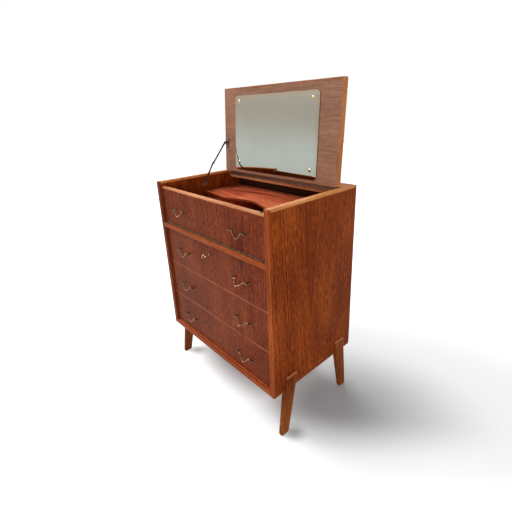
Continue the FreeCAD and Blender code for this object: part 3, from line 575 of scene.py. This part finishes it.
# Materials
def wood(name, colours, grain, face, heart=(0.3, 0.05), slant=0.04, figure=0.6, patch=0.9,
         fleck=0.8, roughness=0.46, counts=fleck_counts):
    """Sawn wood. grain is the axis the fibres run along and face the one through the board.
    heart is where the tree's middle lay, across the board and through it, and slant how much
    the fibres lean. figure, patch and fleck are the weights of rings, clouds and flecks."""
    material, graph, shader = new_material(name)
    parts = graph.object_point()
    side = X + Y + Z - grain - face
    plank = graph.node("Attribute", attribute_name="plank").outputs["Fac"]
    shift = graph.times(plank, plank_shift)
    along = graph.total(parts[grain], shift)
    across, depth = parts[side], parts[face]
    loose = graph.total(across, shift)

    def layer(thread, detail=2.0, decay=0.5):
        """Noise between -0.5 and 0.5 with its own counts across and along the fibres."""
        spot = graph.point(graph.times(loose, thread[0]), graph.times(along, thread[1]),
                           graph.times(depth, thread[0]))
        return graph.minus(graph.noise(spot, detail, decay), 0.5)

    warp = graph.total(graph.times(layer(warp_wide, detail=1.0), 2 * warp_wide[2]),
                       graph.times(layer(warp_fine, detail=1.0), 2 * warp_fine[2]))
    off = graph.total(graph.minus(across, heart[0]), warp)
    radius = graph.total(graph.length(off, graph.minus(depth, heart[1])),
                         graph.times(along, -slant), graph.times(warp, warp_more))
    rings = graph.minus(graph.rings(graph.times(radius, 1 / ring_pitch)), 0.5)
    strong = graph.times(layer(ring_patch_counts, detail=1.0), ring_patch_weight)
    rings = graph.times(rings, graph.total(strong, ring_strength))

    fibre = layer(fibre_counts, detail=3.0, decay=0.6)
    flecks = layer(counts, detail=2.0, decay=0.6)
    pore = graph.rescale(layer(pore_counts, detail=1.0), *pore_range)
    tone = graph.total(0.5, graph.times(layer(patch_counts), patch),
                       graph.times(rings, figure), graph.times(fibre, fibre_weight),
                       graph.times(flecks, fleck), graph.times(plank, plank_weight))
    colour = graph.stops(tone, list(zip(tone_stops, colours)))
    colour = graph.blend(graph.times(pore, pore_dark), colour, linear(colours[0]))
    graph.feed(shader.inputs["Base Color"], colour)
    rough = graph.total(graph.times(flecks, fleck_rough), graph.times(pore, pore_rough), roughness)
    graph.feed(shader.inputs["Roughness"], rough)
    shader.inputs["Specular IOR Level"].default_value = wood_specular
    raised = graph.total(graph.times(fibre, fibre_relief), graph.times(flecks, fleck_relief))
    height = graph.minus(raised, graph.times(pore, pore_relief))
    graph.feed(shader.inputs["Normal"], graph.bump(height, *wood_bump))
    return material


def metal(name, clean, tarnish, cover, roughness):
    """Metal with cloudy tarnish; cover is how much of it the tarnish hides."""
    material, graph, shader = new_material(name)
    cloud = graph.cloud(cloud_count, detail=4.0, roughness=0.65)
    specks = graph.cloud(speck_count, detail=2.0)
    low, high = (limit - cover * tarnish_cover for limit in tarnish_range)
    share = graph.rescale(graph.total(cloud, graph.times(specks, speck_share)), low, high)
    graph.feed(shader.inputs["Base Color"], graph.blend(share, linear(clean), linear(tarnish)))
    shader.inputs["Metallic"].default_value = 1.0
    rough = graph.total(graph.times(share, tarnish_rough), graph.times(specks, speck_rough),
                        roughness)
    graph.feed(shader.inputs["Roughness"], rough)
    graph.feed(shader.inputs["Normal"], graph.bump(graph.total(specks, cloud), *metal_bump))
    return material


def mirror(name, colour, roughness):
    """Silvered glass, a little cloudy."""
    material, graph, shader = new_material(name)
    cloud = graph.cloud(mirror_count, detail=3.0)
    tone = graph.blend(graph.times(cloud, mirror_cloud), linear(colour), linear(mirror_dim))
    graph.feed(shader.inputs["Base Color"], tone)
    shader.inputs["Metallic"].default_value = 1.0
    rough = graph.total(graph.times(cloud, mirror_rough), roughness)
    graph.feed(shader.inputs["Roughness"], rough)
    return material


def felt(name, colour):
    """Short, matt fuzz."""
    material, graph, shader = new_material(name)
    fuzz = graph.cloud(felt_count, detail=3.0)
    light = [c + felt_lighter for c in colour]
    graph.feed(shader.inputs["Base Color"], graph.blend(fuzz, linear(colour), linear(light)))
    shader.inputs["Roughness"].default_value = felt_roughness
    graph.feed(shader.inputs["Normal"], graph.bump(fuzz, *felt_bump))
    return material


def make_materials():
    """All materials by short names. The solid strips come once for each axis of their fibres."""
    tones = wood_colours
    made = {
        "side": wood("teak_side", tones["side"], Z, X, heart=(-0.02, 0.37), slant=0.045,
                     figure=0.85, patch=0.65, fleck=1.15),
        "front": wood("teak_front", tones["front"], Z, Y, heart=(0.19, -0.17), slant=0.05,
                      figure=0.6, patch=0.5, fleck=1.2, counts=front_fleck_counts),
        "lid_top": wood("teak_lid_top", tones["side"], X, Y, heart=(1.05, 0.22), slant=0.03,
                        figure=0.6, patch=0.6, fleck=1.2),
        "flat": wood("teak_flat", tones["flat"], X, Z, heart=(0.1, 0.6), slant=0.03),
        "lid": wood("teak_lid", tones["lid"], X, Y, heart=(1.05, 0.22), slant=0.03,
                    figure=0.28, patch=0.4, fleck=0.35),
        "leg": wood("teak_leg", tones["leg"], Z, X, heart=(0.6, 0.4), slant=0.02, fleck=0.5),
        "painted_shade_leg": wood("teak_painted_shade_leg", tones["painted_shade_leg"], Z, X, heart=(0.6, 0.4), slant=0.02,
                         fleck=0.5),
        "painted_highlight_ledge": wood("teak_painted_highlight_ledge", tones["painted_highlight_ledge"], Z, X, heart=(0.6, 0.4), slant=0.02,
                      figure=0.3, patch=0.4, fleck=0.4),
        "back": wood("ply_back", tones["back"], Z, Y, heart=(0.1, 0.4), roughness=0.66,
                     figure=0.4),
    }
    strips = ("lipping", "lip", "painted_shade_lip", "lid_lip", "worn", "rim", "top", "pale", "stained")
    for axis, letter in enumerate("xyz"):
        for kind in strips:
            name = "%s_%s" % (kind, letter)
            roughness = bare_roughness if kind == "pale" else strip_roughness
            made[name] = wood(name, tones[kind], axis, (axis + 1) % 3, heart=(0.9, 0.9),
                              slant=0.01, figure=0.3, patch=0.6, fleck=0.5, roughness=roughness)
    for kind, look in metals.items():
        made[kind] = metal(*look)
    for kind, look in mirrors.items():
        made[kind] = mirror(*look)
    made["felt"] = felt("bumper_felt", felt_colour)
    return made


# Meshes
def solids_of(node):
    """The closed solids of a node, each as a list of faces given by their corners."""
    mesh = frame["nodes"][node].data
    places = [tuple(round(c * weld) for c in v.co) for v in mesh.vertices]
    unmatched, faces, found = set(), [], []
    for polygon in mesh.polygons:
        loop = [places[i] for i in polygon.vertices]
        if len(set(loop)) < len(loop):
            continue
        faces.append(loop)
        for start, end in zip(loop, loop[1:] + loop[:1]):
            if (end, start) in unmatched:
                unmatched.remove((end, start))
            else:
                unmatched.add((start, end))
        if not unmatched:
            found.append(faces)
            faces = []
    if faces:
        found.append(faces)
    return found


def shell(faces):
    """One solid as a bmesh, its flat areas joined to single faces."""
    made = bmesh.new()
    corners = {}
    for loop in faces:
        for place in loop:
            if place not in corners:
                corners[place] = made.verts.new([c / weld for c in place])
        made.faces.new([corners[place] for place in loop])
    bmesh.ops.dissolve_limit(made, angle_limit=flat_angle, verts=made.verts, edges=made.edges)
    made.normal_update()
    return made


def box_of(points):
    """Lowest and highest corner of the box round some points."""
    low = Vector(min(p[k] for p in points) for k in range(3))
    high = Vector(max(p[k] for p in points) for k in range(3))
    return low, high


def span(made, turn=None):
    """Lowest and highest corner of a bmesh, seen in the frame that turn leads to."""
    return box_of([turn @ v.co if turn else v.co for v in made.verts])


def outer_edges(made, limits, turn):
    """The creased edges that lie along an edge of the board's outer box."""
    found = []
    for edge in made.edges:
        if len(edge.link_faces) != 2 or not edge.is_convex:
            continue
        if edge.calc_face_angle() < crease_angle:
            continue
        if limits:
            ends = [turn @ v.co if turn else v.co for v in edge.verts]
            sides = 0
            for k in range(3):
                for limit in (limits[0][k], limits[1][k]):
                    sides += all(abs(end[k] - limit) < fine_edge for end in ends)
            if sides < 2:
                continue
        found.append(edge)
    return found


def finish_piece(name, mesh, body, nodes=()):
    """Puts a mesh in the scene as a piece that rides on a body."""
    made = bpy.data.objects.new(name, mesh)
    bpy.context.scene.collection.objects.link(made)
    for polygon in mesh.polygons:
        polygon.use_smooth = True
    mesh.set_sharp_from_angle(angle=shade_angle)
    weighted = made.modifiers.new("normals", "WEIGHTED_NORMAL")
    weighted.keep_sharp = True
    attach(made, body)
    if nodes:
        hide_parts(*nodes)
    return made


def body_of(node):
    for body, members in frame["record"]["behaviour"]["bodies"].items():
        if node in members:
            return body
    return None


def joint(name):
    return next(found for found in frame["joints"] if found["name"] == name)


def dress(node, pick, limits=None, turn=None, rounding=fine_edge):
    """Stands for a CAD node with its own solids, edges softened. pick gives the material of
    a solid and of its rounded edges from its box; the edges' material is often a lighter
    wood, partly for wear and partly as a painted highlight."""
    whole = bmesh.new()
    layer = whole.faces.layers.float.new("plank")
    palette = []
    scratch = bpy.data.meshes.new("scratch")
    for number, faces in enumerate(solids_of(node)):
        part = shell(faces)
        low, high = span(part, turn)
        pair = pick(low, high)
        for material in pair:
            if material not in palette:
                palette.append(material)
        edges = outer_edges(part, limits, turn)
        main, worn = (palette.index(m) for m in pair)
        for face in part.faces:
            face.material_index = main
        if edges and rounding:
            bmesh.ops.bevel(part, geom=edges, offset=rounding, offset_type="OFFSET",
                            segments=edge_steps, profile=0.5, affect="EDGES",
                            clamp_overlap=True, material=worn)
        first = len(whole.faces)
        part.to_mesh(scratch)
        part.free()
        whole.from_mesh(scratch)
        whole.faces.ensure_lookup_table()
        for face in whole.faces[first:]:
            face[layer] = (number * plank_step) % 1.0
    mesh = bpy.data.meshes.new("dressed_" + node)
    whole.to_mesh(mesh)
    whole.free()
    bpy.data.meshes.remove(scratch)
    for material in palette:
        mesh.materials.append(material)
    return finish_piece("dressed_" + node, mesh, body_of(node), [node])


def longest(low, high):
    sizes = [high[k] - low[k] for k in range(3)]
    return sizes.index(max(sizes))


def always(*pair):
    """The same material and edge material for every solid."""
    return lambda low, high: pair


def by_grain(m, kind, edges="worn"):
    """Material of a strip and of its edges by the strip's longest side."""
    def pick(low, high):
        letter = "xyz"[longest(low, high)]
        return m["%s_%s" % (kind, letter)], m["%s_%s" % (edges, letter)]
    return pick


def repaint(piece, material, chosen):
    """Gives the faces of a piece that chosen picks another material."""
    index = len(piece.data.materials)
    piece.data.materials.append(material)
    for polygon in piece.data.polygons:
        if chosen(polygon):
            polygon.material_index = index


def loft(rings):
    """A closed skin over rings of points with the same count."""
    made = bmesh.new()
    rows = [[made.verts.new(p) for p in ring] for ring in rings]
    count = len(rows[0])
    for low, high in zip(rows, rows[1:]):
        for k in range(count):
            j = (k + 1) % count
            made.faces.new((low[k], low[j], high[j], high[k]))
    made.faces.new(rows[0][::-1])
    made.faces.new(rows[-1])
    bmesh.ops.remove_doubles(made, verts=made.verts, dist=same_point)
    bmesh.ops.recalc_face_normals(made, faces=made.faces)
    return made


def lathe(profile, start, way, sides=lathe_sides):
    """A turned solid: profile gives distance along way and radius."""
    first = way.orthogonal().normalized()
    second = way.cross(first)
    rings = []
    for distance, radius in profile:
        centre = start + way * distance
        radius = max(radius, least_radius)
        rings.append([centre + first * (radius * math.cos(2 * math.pi * k / sides))
                      + second * (radius * math.sin(2 * math.pi * k / sides))
                      for k in range(sides)])
    return loft(rings)


def joined(parts, name, materials):
    """Several bmeshes as one mesh."""
    whole = bmesh.new()
    scratch = bpy.data.meshes.new("scratch")
    for part in parts:
        part.to_mesh(scratch)
        part.free()
        whole.from_mesh(scratch)
    bpy.data.meshes.remove(scratch)
    mesh = bpy.data.meshes.new(name)
    whole.to_mesh(mesh)
    whole.free()
    for material in materials:
        mesh.materials.append(material)
    return mesh


# Pulls
def bail_path():
    """Points of the swan-necked wire from its right end to its left end."""
    half = post_spacing / 2
    right = [(Vector((half + dx, 0, dz)), bend) for dx, dz, bend in bail_runs]
    left = [(Vector((-p.x, 0, p.z)), bend) for p, bend in reversed(right)]
    runs = right + [(Vector((0, 0, -bail_drop)), bail_bottom_bend)] + left
    path = [runs[0][0]]
    for (before, _), (corner, bend), (after, _) in zip(runs, runs[1:], runs[2:]):
        into = (corner - before).normalized()
        out = (after - corner).normalized()
        turn = into.angle(out)
        reach = bend * math.tan(turn / 2)
        start = corner - into * reach
        inward = (out - into).normalized()
        centre = corner + inward * (bend / math.cos(turn / 2))
        axis = into.cross(out).normalized()
        count = max(2, math.ceil(turn / bend_step))
        for k in range(count + 1):
            step = Matrix.Rotation(turn * k / count, 3, axis)
            path.append(centre + step @ (start - centre))
    path.append(runs[-1][0])
    return path


def tube(path, radius, sides):
    """A round wire along a path in the plane across Y, its ends rounded off."""
    stations = []
    first_way = (path[1] - path[0]).normalized()
    last_way = (path[-1] - path[-2]).normalized()
    end_length = radius * wire_end_share
    for share, size in wire_ends:
        stations.append((path[0] + first_way * (end_length * share), first_way, size))
    for before, point, after in zip(path, path[1:], path[2:]):
        way = (point - before).normalized() + (after - point).normalized()
        stations.append((point, way.normalized(), 1.0))
    for share, size in reversed(wire_ends):
        stations.append((path[-1] - last_way * (end_length * share), last_way, size))
    rings = []
    for centre, way, size in stations:
        side = DEEP.cross(way).normalized()
        rings.append([centre + side * (radius * size * math.cos(2 * math.pi * k / sides))
                      + DEEP * (radius * size * math.sin(2 * math.pi * k / sides))
                      for k in range(sides)])
    return loft(rings)


def make_pulls(m):
    """Posts ride on their front and each bail on its own body, at the tilt it rests at."""
    fronts = {"top": "top_pull_posts"}
    for name in drawer_names:
        fronts[name] = "drawer_%s_pull_posts" % name
    bails = {found["child"]: found for found in frame["joints"]}
    half = post_spacing / 2
    for name, node in fronts.items():
        face_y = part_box(node)[1].y
        posts = []
        for side in ("left", "right"):
            bail = "bail_%s_%s" % (name, side)
            pivot = Vector(bails[bail]["pos_m"])
            tilt = math.radians(bail_swing_in - bails[bail]["range_deg"][0])
            for end in (-half, half):
                posts.append(lathe(post_profile, Vector((pivot.x + end, face_y, pivot.z)), -DEEP))
            wire = tube(bail_path(), bail_wire, bail_sides)
            bmesh.ops.rotate(wire, verts=wire.verts, matrix=Matrix.Rotation(-tilt, 3, "X"))
            bmesh.ops.translate(wire, verts=wire.verts, vec=pivot)
            mesh = joined([wire], bail + "_wire", [m["pull"]])
            finish_piece(bail + "_wire", mesh, bail, [bail])
        mesh = joined(posts, "posts_" + name, [m["post"]])
        finish_piece("posts_" + name, mesh, body_of(node), [node])


# Boards, lippings, legs and fittings that follow the CAD solids
def make_case(m):
    for node in ("side_panel_left", "side_panel_right"):
        dress(node, always(m["side"], m["worn_z"]), rounding=0)
    dress_side_lippings(m)
    for node in ("case_bottom", "well_floor"):
        dress(node, always(m["flat"], m["worn_x"]))
    dress("case_front_lippings", by_grain(m, "lipping"), rounding=thin_edge)
    back = dress("back_panel", always(m["back"], m["back"]))
    # The back's inner face gets the very dark wood: painted shade in the well
    repaint(back, m["stained_x"], lambda face: face.normal.y < -facing)
    # The rear top board gets the lighter wood: painted light where the lid shades it
    dress("rear_top_board", always(m["top_x"], m["top_x"]), rounding=soft_edge)
    # The hinge rail gets the lighter rim wood: painted light where the lid shades it
    dress("hinge_rail", by_grain(m, "rim", "rim"))
    dress("vanity_shelf", always(m["flat"], m["worn_x"]), rounding=0)
    dress("shelf_lipping", by_grain(m, "lipping"))
    dress("shelf_box", always(m["flat"], m["worn_x"]))
    for node in ("well_battens", "drawer_runners"):
        dress(node, by_grain(m, "pale"))
    make_back_pins(m["steel"])
    for node in ("leg_front_left", "leg_front_right", "leg_rear_left", "leg_rear_right"):
        # The front left leg gets the darker copy of the leg wood: painted shade
        kind = "painted_shade_leg" if node in painted_shade_legs else "leg"
        leg = dress(node, always(m[kind], m["worn_z"]), rounding=soft_edge)
        # The top ends of the legs get the much lighter wood: painted highlight
        repaint(leg, m["painted_highlight_ledge"], lambda face: face.normal.z > leg_top_slope)
    dress("lid_bumpers", always(m["felt"], m["felt"]))


def make_back_pins(material):
    """Pins along all four edges of the back's outer face."""
    low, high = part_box("back_panel")
    width = high.x - low.x - 2 * pin_inset
    height = high.z - low.z - 2 * pin_inset
    places = []
    for k in range(pins_across):
        x = low.x + pin_inset + k / (pins_across - 1) * width
        places += [(x, low.z + pin_inset), (x, high.z - pin_inset)]
    for k in range(1, pins_up - 1):
        z = low.z + pin_inset + k / (pins_up - 1) * height
        places += [(low.x + pin_inset, z), (high.x - pin_inset, z)]
    pins = [lathe(pin_profile, Vector((x, high.y, z)), DEEP, head_sides) for x, z in places]
    finish_piece("back_pins", joined(pins, "back_pins", [material]), "case")


def dress_side_lippings(m):
    """Both sides' lippings are one node, so each strip's place in it gives its colour. The left
    side's other strips get a darker copy of the lipping: painted shade.
    """
    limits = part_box("side_lippings")
    level = limits[1].z - soft_edge

    def pick(low, high):
        # The top strips get the lighter wood: painted light on faces that look up
        if longest(low, high) == Y and high.z > level:
            return m["top_y"], m["top_y"]
        # Strips on the left get the darker lipping: painted shade
        if high.x < 0:
            return by_grain(m, "painted_shade_lip", "lipping")(low, high)
        return by_grain(m, "lipping")(low, high)

    dress("side_lippings", pick, limits=limits, rounding=soft_edge)


def make_lid(m):
    """The lid stands open in the frame; closed leads to where it lies flat."""
    hinge = joint("lid_hinge")
    pin = Vector(hinge["pos_m"])
    opening = math.radians(hinge["range_deg"][1])
    closed = Matrix.Translation(pin) @ Matrix.Rotation(opening, 4, "X") @ Matrix.Translation(-pin)
    limits = box_of([closed @ v.co for v in frame["nodes"]["lid_lippings"].data.vertices])
    back = closed.to_3x3().inverted()
    outside = back @ UP
    inside = back @ -UP
    forward = back @ -DEEP
    board = dress("lid_board", always(m["lid"], m["worn_x"]), rounding=0)
    repaint(board, m["lid_top"], lambda face: face.normal.dot(outside) > facing)
    # The lid lippings' rounded edges get the lighter rim wood: painted highlight
    lips = dress("lid_lippings", by_grain(m, "lid_lip", "rim"), limits=limits, turn=closed,
                 rounding=soft_edge)
    # The lid's end faces get the lighter wood: painted light
    repaint(lips, m["top_z"], lambda face: abs(face.normal.x) > facing)
    repaint(lips, m["lipping_x"], lambda face: face.normal.dot(outside) > facing
            or face.normal.dot(forward) > facing)
    glass = dress("mirror_glass", always(m["mirror"], m["bevel"]), rounding=0)
    repaint(glass, m["bevel"], lambda face: facing < face.normal.dot(inside) < glass_face)
    repaint(glass, m["rim"], lambda face: abs(face.normal.dot(inside)) <= facing)
    domes = [lathe(dome_profile, seat, inside) for seat in dome_seats()]
    mesh = joined(domes, "mirror_domes", [m["dome"]])
    finish_piece("mirror_domes", mesh, "lid", ["mirror_screws"])
    dress("stay_side_plate", always(m["steel"], m["steel"]), rounding=0)
    for node in ("stay_lid_bracket", "stay_lower_arm", "stay_upper_arm"):
        dress(node, always(m["arm"], m["arm"]), rounding=0)
    slotted("stay_plate_screws", ACROSS, Matrix.Identity(3), m["screw"])
    slotted("stay_bracket_screws", -UP, closed.to_3x3(), m["screw"])


def dome_seats():
    """Middle of each mirror screw's dome on the glass, from the CAD solids."""
    seats = []
    for faces in solids_of("mirror_screws"):
        points = [Vector(place) / weld for loop in faces for place in loop]
        front = min(p.y for p in points)
        tip = [p for p in points if p.y < front + dome_tip]
        seats.append(sum(tip, Vector()) / len(tip))
    return seats


# Continuous hinges, made with the pin on the X axis and the leaf hanging down from it
def knuckles(half, first):
    """Spans of every second knuckle from first."""
    pitch = 2 * half / (knuckle_count * knuckle_split)
    for k in range(first, knuckle_count * knuckle_split, 2):
        start = k * pitch - half
        yield start + knuckle_gap / 2, start + pitch - knuckle_gap / 2


def leaf_plate(half, first, near, far, height):
    """A flat leaf that reaches up to its own knuckles and stays clear of the others."""
    outline = [(half, -height), (-half, -height), (-half, -knuckle_room)]
    for x0, x1 in knuckles(half, first):
        outline += [(x0, -knuckle_room), (x0, 0.0), (x1, 0.0), (x1, -knuckle_room)]
    outline.append((half, -knuckle_room))
    points = []
    for point in outline:
        if not points or point != points[-1]:
            points.append(point)
    made = bmesh.new()
    front = [made.verts.new((x, near, z)) for x, z in points]
    rear = [made.verts.new((x, far, z)) for x, z in points]
    made.faces.new(front)
    made.faces.new(rear[::-1])
    for k in range(len(points)):
        j = (k + 1) % len(points)
        made.faces.new((front[j], front[k], rear[k], rear[j]))
    bmesh.ops.recalc_face_normals(made, faces=made.faces)
    return made


def screw_head(seat, way, radius, turn):
    """A slotted screw head that stands a little out of a face: a disc and two halves."""
    first = (Matrix.Rotation(turn, 3, way) @ way.orthogonal()).normalized()
    second = way.cross(first)
    disc = ((-head_rise, radius), (head_rise * head_base, radius))
    parts = [lathe(disc, seat, way, head_sides)]
    for side in (-1, 1):
        edge = []
        for k in range(head_sides // 2 + 1):
            angle = math.pi * k / (head_sides // 2)
            u = math.cos(angle) * radius
            v = max(math.sin(angle), slot_half) * radius
            edge.append(first * u + second * (side * v))
        if side < 0:
            edge.reverse()
        low = [seat + p for p in edge]
        high = [seat + p * head_top + way * head_rise for p in edge]
        parts.append(loft([low, high]))
    return parts


def slotted(node, way, turn, material):
    """Stands for a node of plain screws with slotted ones. turn leads to the frame in which
    the heads look along way."""
    parts = []
    back = turn.inverted()
    along = max(range(3), key=lambda k: abs(way[k]))
    for number, faces in enumerate(solids_of(node)):
        made = shell(faces)
        low, high = span(made, turn)
        middle = (low + high) / 2
        middle[along] = high[along] if way[along] > 0 else low[along]
        radius = (high - low)[(along + 1) % 3] / 2
        parts.append(made)
        parts += screw_head(back @ middle, back @ way, radius, number * screw_turn)
    mesh = joined(parts, "slotted_" + node, [material])
    return finish_piece("slotted_" + node, mesh, body_of(node), [node])


def hinge_piece(name, nodes, half, first, side, gap, height, place, angle, material, body):
    """One leaf with its knuckles and screws, turned by angle about the pin at place."""
    near = side * (gap / 2 - leaf_thick)
    far = side * gap / 2
    parts = [leaf_plate(half, first, min(near, far), max(near, far), height)]
    end_radius = knuckle_radius - knuckle_chamfer
    for x0, x1 in knuckles(half, first):
        width = x1 - x0
        profile = ((0.0, end_radius), (knuckle_chamfer, knuckle_radius),
                   (width - knuckle_chamfer, knuckle_radius), (width, end_radius))
        parts.append(lathe(profile, Vector((x0, 0, 0)), ACROSS, knuckle_sides))
    for k in range(hinge_screws):
        x = half * (2 * (k + 0.5) / hinge_screws - 1)
        seat = Vector((x, near, -height * screw_place_share))
        parts += screw_head(seat, DEEP * -side, hinge_screw_radius, k * hinge_screw_turn)
    mesh = joined(parts, name, [material])
    mesh.transform(Matrix.Translation(place) @ Matrix.Rotation(angle, 4, "X"))
    return finish_piece(name, mesh, body, nodes)


def make_hinges(m):
    opening = math.radians(joint("lid_hinge")["range_deg"][1])
    lid_pin = Vector(joint("lid_hinge")["pos_m"])
    fall_pin = Vector(joint("fall_front_hinge")["pos_m"])
    lid_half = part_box("hinge_case_leaf")[1].x
    fall_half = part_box("fall_hinge_case_leaf")[1].x
    hinge_piece("hinge_case", ["hinge_case_leaf"], lid_half, 0, 1, hinge_gap, hinge_height,
                lid_pin, 0.0, m["hinge"], "case")
    hinge_piece("hinge_lid", ["hinge_lid_leaf"], lid_half, 1, -1, hinge_gap, hinge_height,
                lid_pin, -opening, m["hinge"], "lid")
    hinge_piece("fall_hinge_case", ["fall_hinge_case_leaf"], fall_half, 0, -1, fall_gap,
                fall_height, fall_pin, math.pi / 2, m["shade"], "case")
    hinge_piece("fall_hinge_front", ["fall_hinge_front_leaf"], fall_half, 1, 1, fall_gap,
                fall_height, fall_pin, math.pi / 2, m["shade"], "fall_front")
    dress("hinge_pins", always(m["brass"], m["brass"]), rounding=0)


def make_drawers(m):
    fronts = ["top_front_panel"] + ["drawer_%s_front" % name for name in drawer_names]
    for node in fronts:
        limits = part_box(node)
        half_height = (limits[1].z - limits[0].z) / 2
        # The top front's lip gets the lighter rim wood: painted light on its top
        lip = m["rim_x" if node == "top_front_panel" else "lip_x"]

        def pick(low, high):
            """The lip is the solid that is much lower than the board."""
            if high.z - low.z < half_height:
                return lip, lip
            return m["front"], m["lip_z"]

        dress(node, pick, limits=limits, rounding=front_edge)
    for name in drawer_names:
        dress("drawer_%s_sides" % name, by_grain(m, "pale"))
        dress("drawer_%s_bottom" % name, by_grain(m, "pale"))


def make_lock(m):
    dress("lock_case", always(m["steel"], m["steel"]))
    dress("lock_bolt", always(m["steel"], m["steel"]))
    dress("escutcheon", always(m["post"], m["post"]), rounding=0)
    dress("key", always(m["key"], m["key"]))


def main():
    make_camera()
    make_lamps()
    make_world()
    make_floor()
    make_card()
    materials = make_materials()
    make_case(materials)
    make_lid(materials)
    make_hinges(materials)
    make_drawers(materials)
    make_lock(materials)
    make_pulls(materials)
    bpy.context.scene.view_settings.view_transform = "Standard"
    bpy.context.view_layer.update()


main()
